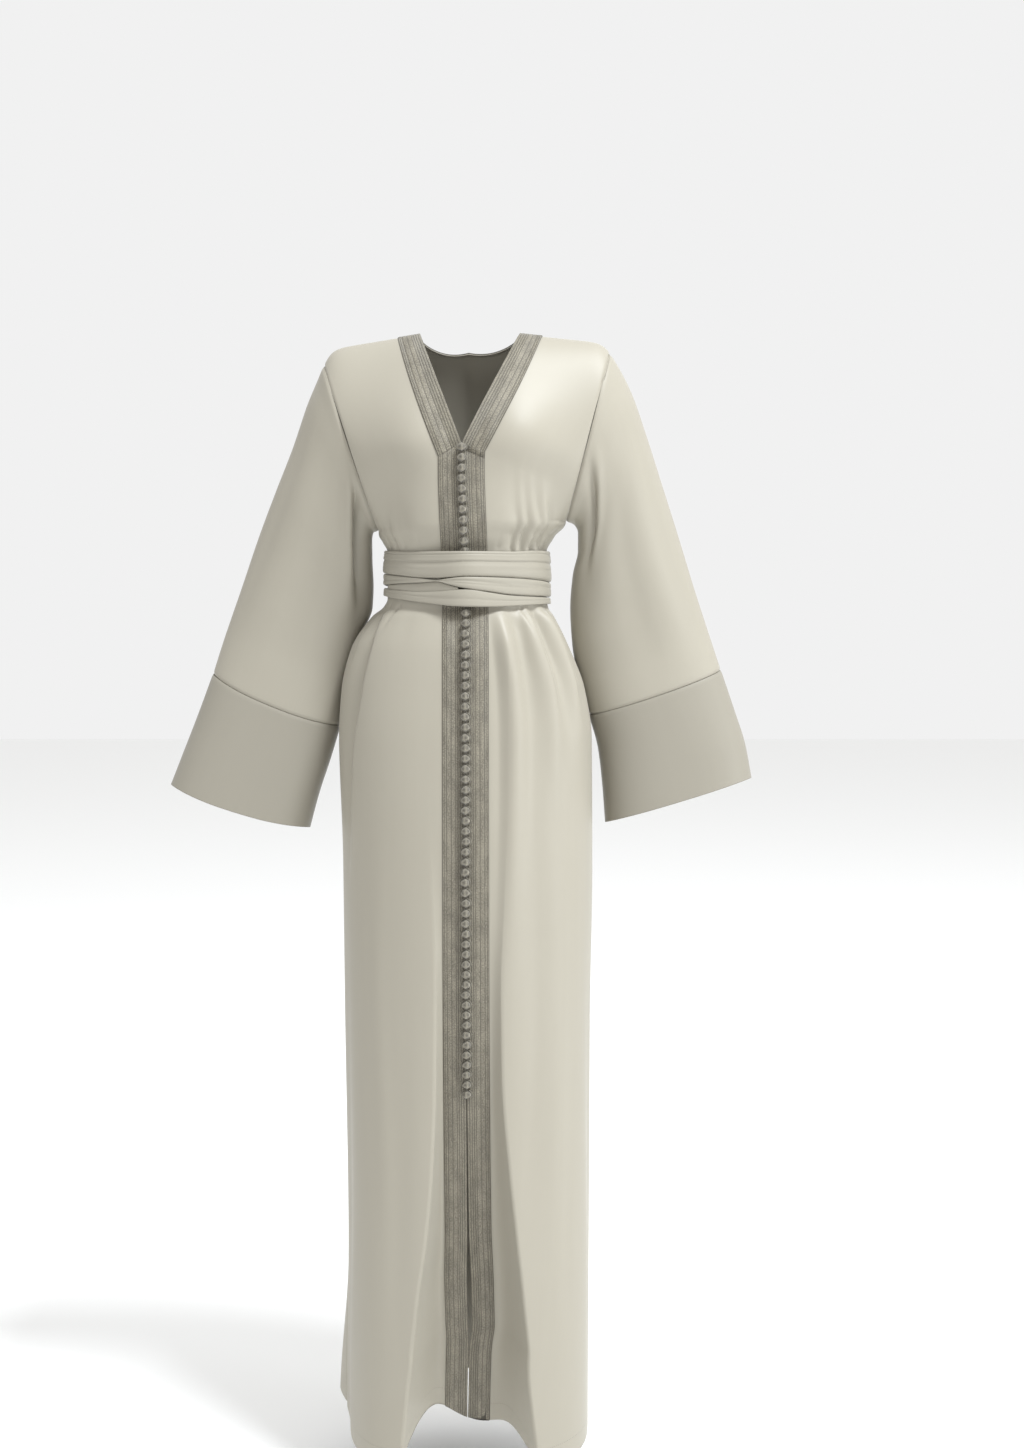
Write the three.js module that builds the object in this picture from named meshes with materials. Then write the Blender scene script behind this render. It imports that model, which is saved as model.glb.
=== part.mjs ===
import * as THREE from 'three';

// A long kaftan as it hangs when worn: two fronts cut in one from shoulder to hem, one back,
// wide sleeves with deep cuff bands, braid down both front edges and round the neck, a close
// row of ball buttons and a sash wound round the waist.
// Millimetres, +Z up, front towards -Y, +X to the wearer's left.
// The origin is the middle of the shoulder line, where the shoulders carry the garment.

// ---- Driving sizes ----
const clothWall = 1.6;
const seamGap = 0.3; // clear space left between two pieces that are sewn together
const hemZ = -1490;
const underarmZ = -255;
const neckPointZ = 0;
const vBottomZ = -153;
const halfTurn = Math.PI;
const quarterTurn = Math.PI / 2;
const roundness = 2.2; // power of the level rings: 2 is an ellipse, more is squarer

// Each side's own shoulder tip, underarm and neck point; side is -1 for right, 1 for left.
const sides = {
  right: { side: -1, tipX: 184, tipZ: -19, underarmX: 118, underarmZ: -264, neckX: 61, arch: 0.6 },
  left: { side: 1, tipX: 190, tipZ: -14, underarmX: 136, underarmZ: -251, neckX: 74, arch: 2.5 },
}; // arch is how far the shoulder line bows up between neck and tip
const neckMiddleX = 6; // the middle of the neck's cut lies a little to the wearer's left
const armholeDepth = 58; // how far the armhole reaches to the front and to the back
const backNeckDrop = 23 * halfTurn / 180; // how far round the shoulder the back neck is cut
// Below the underarm each side's own height and width there fade out over these lengths.
const underarmFade = { height: 45, width: 12 };

// Level rings of the body, from under the arms to the hem: half widths of the two sides and
// depths to the front and the back.
const trunk = [
  { z: -255, right: 118, left: 132, front: 108, back: 92 },
  { z: -282, right: 109, left: 115, front: 98, back: 86 },
  { z: -292, right: 106, left: 110, front: 92, back: 82 },
  { z: -356, right: 106, left: 110, front: 92, back: 82 },
  { z: -368, right: 112, left: 112, front: 92.5, back: 83 },
  { z: -380, right: 127, left: 120, front: 98, back: 94 },
  { z: -425, right: 156, left: 142, front: 112, back: 106 },
  { z: -478, right: 168, left: 162, front: 119, back: 115 },
  { z: -546, right: 172, left: 172, front: 126, back: 121 },
  { z: -730, right: 168, left: 173, front: 134, back: 125 },
  { z: -925, right: 167, left: 170, front: 139, back: 126 },
  { z: -1228, right: 164, left: 169, front: 146, back: 128 },
  { z: -1490, right: 165, left: 167, front: 151, back: 131 },
];

// The front edges sway a little to one side and part below the last button.
const frontEdges = [
  { z: 0, middle: -3, halfGap: 0.3 },
  { z: -170, middle: -3, halfGap: 0.3 },
  { z: -290, middle: 0, halfGap: 0.3 },
  { z: -430, middle: 2, halfGap: 0.3 },
  { z: -1020, middle: 3, halfGap: 0.4 },
  { z: -1200, middle: 4, halfGap: 1 },
  { z: -1285, middle: 5, halfGap: 3.1 },
  { z: -1350, middle: 6, halfGap: 3.4 },
  { z: -1385, middle: 5, halfGap: 2.2 },
  { z: -1415, middle: 4, halfGap: 0.6 },
  { z: -1490, middle: 2, halfGap: 0.5 },
];

// The deep fold that the front edges sink into: where its floor ends and its crest stands,
// measured across from the front edge, and how deep it is.
const centreFold = [
  { z: 0, rightFloor: 30, rightCrest: 52, leftFloor: 30, leftCrest: 52, depth: 0 },
  { z: -600, rightFloor: 30, rightCrest: 50, leftFloor: 30, leftCrest: 54, depth: 0 },
  { z: -760, rightFloor: 28, rightCrest: 42, leftFloor: 29, leftCrest: 50, depth: 3 },
  { z: -860, rightFloor: 27, rightCrest: 38, leftFloor: 29, leftCrest: 46, depth: 8 },
  { z: -987, rightFloor: 26, rightCrest: 38, leftFloor: 29, leftCrest: 47, depth: 18 },
  { z: -1113, rightFloor: 24, rightCrest: 44, leftFloor: 29, leftCrest: 56, depth: 34 },
  { z: -1207, rightFloor: 22, rightCrest: 53, leftFloor: 29, leftCrest: 65, depth: 48 },
  { z: -1303, rightFloor: 20, rightCrest: 66, leftFloor: 28, leftCrest: 72, depth: 63 },
  { z: -1383, rightFloor: 18, rightCrest: 77, leftFloor: 24, leftCrest: 81, depth: 76 },
  { z: -1490, rightFloor: 16, rightCrest: 87, leftFloor: 12, leftCrest: 97, depth: 92 },
];
// The hem: how much lower the fronts hang than the back, the height where that begins, and
// where round the body the hem is drawn up, by turn and half width in degrees.
const hem = {
  frontDrop: 30,
  from: -1280,
  lifts: [{ turn: -14, half: 14, rise: 32 }, { turn: 18, half: 9, rise: 14 },
    { turn: -108, half: 28, rise: 14 }],
};

// Soft folds: where each starts and ends, its angle round the body there in degrees (0 is the
// middle front, 90 the wearer's left side, -90 the right side, 180 the middle back), its half
// width in degrees, its height (below 0 for a trough) and where along it that is reached.
const folds = [
  { top: -358, end: -780, from: 19, to: 15, half: 9, height: 5, peak: 0.12 },
  { top: -358, end: -640, from: 29, to: 29, half: 7, height: -4, peak: 0.12 },
  { top: -358, end: -600, from: 38, to: 44, half: 7, height: 5, peak: 0.14 },
  { top: -358, end: -540, from: 49, to: 52, half: 6, height: -4, peak: 0.14 },
  { top: -358, end: -560, from: 58, to: 62, half: 8, height: 5, peak: 0.14 },
  { top: -170, end: -291, from: 26, to: 31, half: 5, height: -3, peak: 0.85 },
  { top: -190, end: -291, from: 36, to: 40, half: 5, height: -3, peak: 0.85 },
  { top: -180, end: -291, from: 46, to: 49, half: 5, height: 3, peak: 0.85 },
  { top: -200, end: -291, from: 55, to: 56, half: 4, height: -3, peak: 0.85 },
  { top: -358, end: -600, from: -66, to: -74, half: 11, height: -8, peak: 0.3 },
  { top: -358, end: -700, from: -98, to: -98, half: 14, height: 3, peak: 0.4 },
  { top: -210, end: -291, from: -41, to: -41, half: 6, height: -2, peak: 0.85 },
  { top: -220, end: -291, from: -59, to: -59, half: 6, height: -2, peak: 0.85 },
  { top: -1180, end: -1640, from: -106, to: -112, half: 17, height: 25, peak: 0.8 },
  { top: -1180, end: -1640, from: -84, to: -84, half: 9, height: -4, peak: 0.8 },
  { top: -700, end: -1800, from: 64, to: 60, half: 20, height: 8, peak: 0.8 },
  { top: -760, end: -1800, from: -52, to: -50, half: 18, height: 5, peak: 0.8 },
];
// The back is drawn in evenly by the sash, above and below it, and hangs in broad folds.
const backGathers = { from: 112, to: 248, count: 8, half: 7, height: 3.5, top: -292, above: 110,
  foot: -360, below: 300, start: 14 };
const backHangs = { from: 124, to: 236, count: 5, half: 13, height: 9, top: -560 };
// The bust's fullness: place, reach and height, and where it is gone above the sash.
const bust = { across: 74, z: -205, reachX: 58, reachZ: 80, height: 13, foot: -330, fade: 60 };

// Sleeves: the outer line, the inner line, the middle's place behind the shoulder line, half the
// thickness, the squareness of the ring and how far its middle hangs below its two ends.
const sleeveRings = {
  right: [
    { ring: 0, outX: 184, outZ: -19, inX: 118, inZ: -264, back: 0, half: 58, power: 2, drop: 0 },
    { ring: 1, outX: 197, outZ: -45, inX: 125, inZ: -265, back: 4, half: 58, power: 2, drop: 0 },
    { ring: 2, outX: 213, outZ: -91, inX: 128, inZ: -277, back: 9, half: 57, power: 2.1, drop: 0 },
    { ring: 3, outX: 235, outZ: -151, inX: 128, inZ: -303, back: 17, half: 55, power: 2.2, drop: 0 },
    { ring: 4, outX: 259, outZ: -208, inX: 127, inZ: -335, back: 25, half: 53, power: 2.2, drop: 0 },
    { ring: 5, outX: 284, outZ: -270, inX: 129, inZ: -368, back: 33, half: 51, power: 2.2, drop: 0 },
    { ring: 6, outX: 310, outZ: -342, inX: 144, inZ: -404, back: 40, half: 49, power: 2.3, drop: 2 },
    { ring: 7, outX: 334, outZ: -408, inX: 164, inZ: -464, back: 44, half: 48, power: 2.3, drop: 5 },
    { ring: 8, outX: 351, outZ: -460, inX: 176, inZ: -532, back: 44, half: 48, power: 2.4, drop: 8 },
  ],
  left: [
    { ring: 0, outX: 190, outZ: -14, inX: 136, inZ: -251, back: 0, half: 58, power: 2, drop: 0 },
    { ring: 1, outX: 208, outZ: -39, inX: 146, inZ: -254, back: 4, half: 58, power: 2, drop: 0 },
    { ring: 2, outX: 225, outZ: -79, inX: 153, inZ: -267, back: 9, half: 57, power: 2.1, drop: 0 },
    { ring: 3, outX: 245, outZ: -133, inX: 153, inZ: -291, back: 17, half: 55, power: 2.2, drop: 0 },
    { ring: 4, outX: 266, outZ: -195, inX: 146, inZ: -325, back: 25, half: 53, power: 2.2, drop: 0 },
    { ring: 5, outX: 291, outZ: -270, inX: 143, inZ: -368, back: 33, half: 51, power: 2.2, drop: 0 },
    { ring: 6, outX: 315, outZ: -345, inX: 146, inZ: -417, back: 40, half: 49, power: 2.3, drop: 2 },
    { ring: 7, outX: 337, outZ: -410, inX: 156, inZ: -470, back: 44, half: 48, power: 2.3, drop: 3 },
    { ring: 8, outX: 352, outZ: -455, inX: 170, inZ: -517, back: 44, half: 48, power: 2.4, drop: 3 },
  ],
};
const cuffRings = {
  right: [
    { ring: 8, outX: 351, outZ: -460, inX: 176, inZ: -532, back: 44, half: 48, power: 2.4, drop: 8 },
    { ring: 9, outX: 371, outZ: -514, inX: 190, inZ: -578, back: 42, half: 50, power: 2.4, drop: 10 },
    { ring: 10, outX: 392, outZ: -568, inX: 206, inZ: -626, back: 40, half: 52, power: 2.5, drop: 10 },
    { ring: 11, outX: 410, outZ: -614, inX: 219, inZ: -674, back: 38, half: 54, power: 2.5, drop: 10 },
  ],
  left: [
    { ring: 8, outX: 352, outZ: -455, inX: 170, inZ: -517, back: 44, half: 48, power: 2.4, drop: 3 },
    { ring: 9, outX: 370, outZ: -508, inX: 183, inZ: -564, back: 42, half: 50, power: 2.4, drop: 3 },
    { ring: 10, outX: 386, outZ: -558, inX: 189, inZ: -615, back: 40, half: 52, power: 2.5, drop: 3 },
    { ring: 11, outX: 395, outZ: -605, inX: 193, inZ: -667, back: 38, half: 54, power: 2.5, drop: 3 },
  ],
};
const cuffRing = 8; // the ring where sleeve and cuff band are sewn together
const lastRing = 11;
const ringSpacing = 55; // about how far apart two rings are there
const hemTilt = 12; // the back of a cuff hangs lower than its front
// Folds along a sleeve: rings they run between, turn round the ring in degrees from the outer
// line over the front, half width in degrees and height. They rise and end over a part of their
// length.
const sleeveFoldEnds = { rise: 1 / 3, fall: 1 / 2.2 };
const sleeveFolds = {
  right: [
    { from: 0.4, to: 6.4, start: 128, end: 150, half: 22, height: -11 },
    { from: 2, to: 8, start: 62, end: 70, half: 24, height: 4 },
    { from: 1, to: 8, start: 238, end: 228, half: 26, height: -7 },
  ],
  left: [
    { from: 0.4, to: 6.4, start: 120, end: 140, half: 24, height: -7 },
    { from: 2, to: 8, start: 60, end: 70, half: 24, height: 4 },
    { from: 1, to: 8, start: 236, end: 226, half: 26, height: -7 },
  ],
};

const braid = { width: 30, thick: 1.2, columns: 3 };
const braidLift = clothWall / 2 + seamGap + braid.thick / 2;

// Each ball is fullness times its radius between -flat and flat of the pitch; the row lies on the
// braid at the column rest.
const buttons = { top: -159, pitch: 13.5, count: 64, radius: 5.7, cord: 2.4, turns: 6,
  fullness: 0.93, flat: 0.24, end: 0.42, rest: 0.6 };
const buttonLift = braidLift + braid.thick / 2 + seamGap + buttons.radius;

// The sash is four folds of one cloth. Their edges by the angle round the waist in degrees;
// the twist at the wearer's right front draws the middle fold together.
const sashEdges = [
  { turn: -180, top: -291, upper: -328, middleTop: -328.5, middle: -345, lens: -345, low: -357 },
  { turn: -90, top: -291, upper: -321.5, middleTop: -322, middle: -338.5, lens: -341.5, low: -352 },
  { turn: -50, top: -293, upper: -325.5, middleTop: -326, middle: -336.5, lens: -344.5, low: -357 },
  { turn: -30, top: -294, upper: -328.5, middleTop: -329, middle: -335.5, lens: -347, low: -361 },
  { turn: -17, top: -294, upper: -329, middleTop: -331, middle: -334.6, lens: -346.5, low: -363.5 },
  { turn: -8, top: -294, upper: -328, middleTop: -329, middle: -338.5, lens: -345, low: -365.5 },
  { turn: 1, top: -294, upper: -326.5, middleTop: -327, middle: -343, lens: -343.5, low: -366.5 },
  { turn: 14, top: -294, upper: -327, middleTop: -327.5, middle: -347, lens: -347.5, low: -367 },
  { turn: 30, top: -294, upper: -328, middleTop: -328.5, middle: -351, lens: -351.5, low: -366 },
  { turn: 56, top: -292, upper: -330.5, middleTop: -331, middle: -353, lens: -353.5, low: -364 },
  { turn: 90, top: -292, upper: -334, middleTop: -334.5, middle: -354, lens: -354.5, low: -363 },
  { turn: 180, top: -291, upper: -328, middleTop: -328.5, middle: -345, lens: -345, low: -357 },
];
const sash = { clear: 3, overButtons: 12.6, buttonX: 1, buttonReach: 26, stations: 44, gap: 0.4,
  waistZ: -326, tangentTurn: 2, buttonsFrom: -299, buttonsTo: -361 };
const innerFold = { from: -64, to: -6, steps: 6 };
// Outer faces of the folds, from top edge to bottom edge: share of the width and height.
const sashFaces = {
  upper: [[0, 1.2], [0.16, 2.6], [0.38, 1.7], [0.44, 3.0], [0.75, 3.6], [1, 1.2]],
  middle: [[0, 1.2], [0.3, 3.4], [0.7, 3.2], [1, 1.2]],
  lens: [[0, 0.9], [0.5, 1.6], [1, 0.9]],
  lower: [[0, 1.2], [0.3, 2.9], [0.6, 2.3], [0.7, 2.9], [1, 1.2]],
};

// ---- Curves through tables ----

// A smooth curve through one column of a table; it never swings past the table's own values.
function through(table, key, at, column) {
  const last = table.length - 1;
  const way = Math.sign(table[last][key] - table[0][key]);
  if ((at - table[0][key]) * way <= 0) return table[0][column];
  if ((at - table[last][key]) * way >= 0) return table[last][column];
  let row = 0;
  while ((at - table[row + 1][key]) * way > 0) row += 1;
  const step = (k) => table[k + 1][key] - table[k][key];
  const slope = (k) => (table[k + 1][column] - table[k][column]) / step(k);
  const tangent = (k) => {
    if (k === 0) return slope(0);
    if (k === last) return slope(last - 1);
    const before = slope(k - 1);
    const after = slope(k);
    return before * after > 0 ? (2 * before * after) / (before + after) : 0;
  };
  const t = (at - table[row][key]) / step(row);
  const t2 = t * t;
  const t3 = t2 * t;
  return (2 * t3 - 3 * t2 + 1) * table[row][column] + (3 * t2 - 2 * t3) * table[row + 1][column]
    + ((t3 - 2 * t2 + t) * tangent(row) + (t3 - t2) * tangent(row + 1)) * step(row);
}

const mix = (a, b, t) => a + (b - a) * t;
const clamp = (t) => Math.min(1, Math.max(0, t));
const ease = (t) => clamp(t) * clamp(t) * (3 - 2 * clamp(t));
const bell = (t) => Math.exp(-t * t);
const signedPower = (t, p) => Math.sign(t) * Math.abs(t) ** p;

// ---- The body's surface ----

// A place on the body is a height measure and an angle round it. The height measure is
// millimetres below the underarm where it is 0 or less, and above it the share, up to 1, of
// the way round the shoulder to the shoulder line.
const heightOf = (level) => (level <= 0
  ? underarmZ + level : mix(underarmZ, neckPointZ, Math.sin(level * quarterTurn)));
const levelOf = (z) => (z <= underarmZ
  ? z - underarmZ : Math.asin((z - underarmZ) / (neckPointZ - underarmZ)) / quarterTurn);

// The armhole, a slanted loop; turn is 0 at the shoulder tip and half a turn at the underarm.
function armhole(at, turn, toFront) {
  const up = (1 + Math.cos(turn)) / 2;
  return {
    x: at.side * mix(at.underarmX, at.tipX, up),
    y: toFront * armholeDepth * Math.sin(turn),
    z: mix(at.underarmZ, at.tipZ, up),
  };
}

// Both ends of one level quarter ring: at the middle line and at the side or the armhole.
function quarterEnds(name, front, level) {
  const at = sides[name];
  const toFront = front ? -1 : 1;
  const z = heightOf(level);
  const middle = through(frontEdges, 'z', z, 'middle');
  const gap = front ? through(frontEdges, 'z', z, 'halfGap') : 0;
  const deep = through(trunk, 'z', Math.min(z, underarmZ), front ? 'front' : 'back');
  if (level <= 0) {
    const width = through(trunk, 'z', z, name);
    const tilt = (at.underarmZ - underarmZ) * ease(1 + level / underarmFade.height);
    const reach = mix(width, at.underarmX, ease(1 + level / underarmFade.width));
    return {
      inner: { x: middle + at.side * gap, y: toFront * deep, z },
      outer: { x: at.side * reach, y: 0, z: z + tilt },
    };
  }
  const open = clamp((z - vBottomZ) / (neckPointZ - vBottomZ));
  const edge = front
    ? mix(middle + at.side * gap, at.side * at.neckX, open) : mix(middle, neckMiddleX, level);
  return {
    inner: { x: edge, y: toFront * deep * Math.cos(level * quarterTurn), z },
    outer: armhole(at, halfTurn * (1 - level), toFront),
  };
}

// Height of the soft folds at a place; turn is the angle round the body in degrees.
function foldHeight(turn, z) {
  let height = 0;
  for (const fold of folds) {
    const way = (z - fold.top) / (fold.end - fold.top);
    if (way <= 0 || way >= 1) continue;
    const rise = way < fold.peak ? ease(way / fold.peak) : ease((1 - way) / (1 - fold.peak));
    height += fold.height * rise * bell((turn - mix(fold.from, fold.to, way)) / fold.half);
  }
  const round = (turn + 360) % 360;
  const above = z - backGathers.top;
  const under = backGathers.foot - z;
  const drawn = ease(above / backGathers.start) * clamp(1 - above / backGathers.above)
    + ease(under / backGathers.start) * clamp(1 - under / backGathers.below);
  for (let i = 0; i < backGathers.count; i += 1) {
    const at = mix(backGathers.from, backGathers.to, i / (backGathers.count - 1));
    height += backGathers.height * drawn * bell((round - at) / backGathers.half);
  }
  const hung = clamp((backHangs.top - z) / (backHangs.top - hemZ));
  for (let i = 0; i < backHangs.count; i += 1) {
    const at = mix(backHangs.from, backHangs.to, i / (backHangs.count - 1));
    height += backHangs.height * hung * bell((round - at) / backHangs.half);
  }
  return height;
}

// One point of the body's middle surface: across is the share of the way from the middle line
// to the side.
function bodyPoint(name, front, across, level) {
  const at = sides[name];
  const { inner, outer } = quarterEnds(name, front, level);
  const share = Math.min(1, Math.max(0, across));
  const angle = Math.asin(share ** (roundness / 2));
  const deep = Math.cos(angle) ** (2 / roundness);
  const point = new THREE.Vector3(
    mix(inner.x, outer.x, share), mix(outer.y, inner.y, deep), mix(inner.z, outer.z, share));
  point.z += at.arch * ease(level * 2 - 1) * Math.sin(share * halfTurn);
  const degrees = (angle * 180) / halfTurn;
  const turn = at.side * (front ? degrees : 180 - degrees);
  const lift = foldHeight(turn, point.z);
  point.x += at.side * Math.sin(angle) * lift;
  point.y += (front ? -1 : 1) * Math.cos(angle) * lift;
  const low = ease((hem.from - point.z) / (hem.from - hemZ));
  for (const { turn: place, half, rise } of hem.lifts) {
    point.z += low * rise * bell((turn - place) / half);
  }
  if (!front) return point;
  const from = Math.abs(point.x - inner.x);
  const bulge = bell((Math.abs(point.x) - bust.across) / bust.reachX)
    * bell((point.z - bust.z) / bust.reachZ) * ease((point.z - bust.foot) / bust.fade);
  point.y -= bust.height * bulge * Math.sqrt(Math.cos(angle));
  const floor = through(centreFold, 'z', point.z, `${name}Floor`);
  const crest = through(centreFold, 'z', point.z, `${name}Crest`);
  const climb = clamp((from - floor) / (crest - floor));
  point.y += through(centreFold, 'z', point.z, 'depth') * Math.cos(climb * quarterTurn);
  point.z -= low * hem.frontDrop * Math.sqrt(deep) * climb ** 4;
  return point;
}

// ---- Columns and rows of the panels ----
const frontColumns = { braid: 3, crest: 6, side: 15 };
const backColumns = { neck: 3, side: 13 };
const seamShare = 0.001; // panels stop this share short of the side and shoulder seams
const sideTurn = quarterTurn - seamShare;
const shareOf = (angle) => Math.sin(angle) ** (2 / roundness);
const angleOf = (share) => Math.asin(share ** (roundness / 2));

// Front columns run from the edge in equal steps under the braid, then to the crest of the
// centre fold, then in equal angles to the side seam.
function frontPoint(name, column, level) {
  const { inner, outer } = quarterEnds(name, true, level);
  const width = Math.abs(outer.x - inner.x);
  const crest = through(centreFold, 'z', inner.z, `${name}Crest`);
  if (column <= frontColumns.braid) {
    const offset = (braid.width * column) / frontColumns.braid;
    return bodyPoint(name, true, offset / width, level);
  }
  if (column <= frontColumns.crest) {
    const way = (column - frontColumns.braid) / (frontColumns.crest - frontColumns.braid);
    return bodyPoint(name, true, mix(braid.width, crest, way) / width, level);
  }
  const way = (column - frontColumns.crest) / (frontColumns.side - frontColumns.crest);
  return bodyPoint(name, true, shareOf(mix(angleOf(crest / width), sideTurn, way)), level);
}

const nameOf = (column) => (column < 0 ? 'right' : 'left');
const tipReach = (name) => sides[name].tipX - sides[name].side * neckMiddleX;
const neckShare = (name) => (sides[name].neckX - sides[name].side * neckMiddleX) / tipReach(name);

// How far round the shoulder a back column reaches: all the way, or to the cut of the neck.
function backTop(name, share) {
  const inNeck = share / neckShare(name);
  return inNeck >= 1 ? 1 : 1 - (backNeckDrop / quarterTurn) * Math.sqrt(1 - inNeck * inNeck);
}

// Back columns run from the middle to the neck point, then in equal angles to the side seam;
// columns below 0 are the wearer's right half.
function backPoint(column, level) {
  const name = nameOf(column);
  const count = Math.abs(column);
  const neckAngle = angleOf(neckShare(name));
  const angle = count <= backColumns.neck
    ? (neckAngle * count) / backColumns.neck
    : mix(neckAngle, sideTurn, (count - backColumns.neck) / (backColumns.side - backColumns.neck));
  const share = shareOf(angle);
  return bodyPoint(name, false, share, level > 0 ? level * backTop(name, share) : level);
}

const vLevel = levelOf(vBottomZ);
const lastLevel = 1 - seamShare;
const spread = (from, to, steps) => Array.from({ length: steps },
  (unused, i) => mix(from, to, (i + 1) / steps));
const skirtLevels = [hemZ, ...spread(hemZ, -780, 9), ...spread(-780, -460, 5),
  ...spread(-460, -368, 4), -356, -292, -282, -268, underarmZ].map((z) => z - underarmZ);
const yokeLevels = [...spread(0, vLevel, 2), ...spread(vLevel, 1, 7)];
const bodyLevels = [...skirtLevels, ...yokeLevels.slice(0, -1), lastLevel];

// ---- Solids ----

function geometryOf(points, triangles) {
  const geometry = new THREE.BufferGeometry();
  geometry.setAttribute('position', new THREE.Float32BufferAttribute(
    points.flatMap((p) => [p.x, p.y, p.z]), 3));
  let volume = 0;
  for (const [a, b, c] of triangles) {
    volume += points[a].dot(new THREE.Vector3().crossVectors(points[b], points[c]));
  }
  const outward = volume > 0 ? triangles : triangles.map(([a, b, c]) => [a, c, b]);
  geometry.setIndex(outward.flat());
  geometry.computeVertexNormals();
  return geometry;
}

// The normal of a surface at a place, from points a little to each side of it.
function normalAt(surface, u, v, range) {
  const u0 = Math.max(range.u[0], u - range.du);
  const u1 = Math.min(range.u[1], u + range.du);
  const v0 = Math.max(range.v[0], v - range.dv(v, -1));
  const v1 = Math.min(range.v[1], v + range.dv(v, 1));
  const alongU = surface(u1, v).sub(surface(u0, v));
  const alongV = surface(u, v1).sub(surface(u, v0));
  return alongU.cross(alongV).normalize();
}

// A wall of cloth: a surface taken on rows and columns, given its thickness to both sides of
// a surface that stands off it by lift. A tube's rows close on themselves.
function wallSolid(surface, us, vs, range, { thick = clothWall, lift = 0, out = 1, tube = false }) {
  const points = [];
  const rows = vs.length;
  const columns = us.length;
  for (const shift of [lift + thick / 2, lift - thick / 2]) {
    for (const v of vs) {
      for (const u of us) {
        const normal = normalAt(surface, u, v, range);
        points.push(surface(u, v).addScaledVector(normal, out * shift));
      }
    }
  }
  const layer = rows * columns;
  const at = (row, column) => row * columns + (column % columns);
  const triangles = [];
  const quad = (a, b, c, d) => triangles.push([a, b, c], [a, c, d]);
  const lastColumn = tube ? columns : columns - 1;
  for (let row = 0; row < rows - 1; row += 1) {
    for (let column = 0; column < lastColumn; column += 1) {
      const corners = [at(row, column), at(row, column + 1), at(row + 1, column + 1),
        at(row + 1, column)];
      quad(...corners);
      const [a, b, c, d] = corners.map((k) => k + layer);
      triangles.push([a, c, b], [a, d, c]);
    }
  }
  for (let column = 0; column < lastColumn; column += 1) {
    const low = [at(0, column), at(0, column + 1)];
    const high = [at(rows - 1, column), at(rows - 1, column + 1)];
    quad(low[1], low[0], low[0] + layer, low[1] + layer);
    quad(high[0], high[1], high[1] + layer, high[0] + layer);
  }
  for (let row = 0; row < rows - 1 && !tube; row += 1) {
    const first = [at(row, 0), at(row + 1, 0)];
    const end = [at(row, columns - 1), at(row + 1, columns - 1)];
    quad(first[0], first[1], first[1] + layer, first[0] + layer);
    quad(end[1], end[0], end[0] + layer, end[1] + layer);
  }
  return geometryOf(points, triangles);
}

// A closed tube through rings of points; open ends are capped, a hoop joins its last ring
// to its first.
function loft(rings, hoop = false) {
  const points = rings.flat();
  const around = rings[0].length;
  const triangles = [];
  const at = (ring, k) => (ring % rings.length) * around + (k % around);
  const spans = hoop ? rings.length : rings.length - 1;
  for (let ring = 0; ring < spans; ring += 1) {
    for (let k = 0; k < around; k += 1) {
      triangles.push([at(ring, k), at(ring, k + 1), at(ring + 1, k + 1)],
        [at(ring, k), at(ring + 1, k + 1), at(ring + 1, k)]);
    }
  }
  if (!hoop) {
    for (let k = 1; k < around - 1; k += 1) {
      triangles.push([at(0, 0), at(0, k + 1), at(0, k)]);
      triangles.push([at(rings.length - 1, 0), at(rings.length - 1, k),
        at(rings.length - 1, k + 1)]);
    }
  }
  return geometryOf(points, triangles);
}

// ---- Materials ----
const colours = { cloth: 0xb3a897, cuff: 0xaca190, braid: 0x8b8174, button: 0x857b6e, sash: 0xafa493 };
function finish(colour, roughness) {
  return new THREE.MeshStandardMaterial({ color: colour, roughness, metalness: 0 });
}

const kaftan = new THREE.Group();
function add(name, geometry, material) {
  const mesh = new THREE.Mesh(geometry, material);
  mesh.name = name;
  kaftan.add(mesh);
}
const count = (last) => Array.from({ length: last + 1 }, (unused, i) => i);

// ---- Fronts and back ----

// Steps for the normals: a part of a column, and in height millimetres below the underarm and
// a share of the way round the shoulder above it.
const normalStep = { column: 0.12, height: 3, share: 0.012, nearly: 0.0001 };
const levelStep = (level, way) => (level + way * normalStep.nearly > 0
  ? normalStep.share : normalStep.height);
const levelRange = [hemZ - underarmZ, lastLevel];

function frontSurface(name) {
  const surface = (column, level) => frontPoint(name, column, level);
  const range = { u: [0, frontColumns.side], v: levelRange, du: normalStep.column, dv: levelStep };
  return { surface, range };
}

for (const name of ['right', 'left']) {
  const { surface, range } = frontSurface(name);
  const out = sides[name].side;
  add(`front_${name}`, wallSolid(surface, count(frontColumns.side), bodyLevels, range, { out }),
    finish(colours.cloth, 0.5));
}

const backRange = { u: [-backColumns.side, backColumns.side], v: levelRange,
  du: normalStep.column, dv: levelStep };
const backCounts = count(2 * backColumns.side).map((k) => k - backColumns.side);
add('back', wallSolid(backPoint, backCounts, bodyLevels, backRange, { out: -1 }),
  finish(colours.cloth, 0.5));

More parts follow.
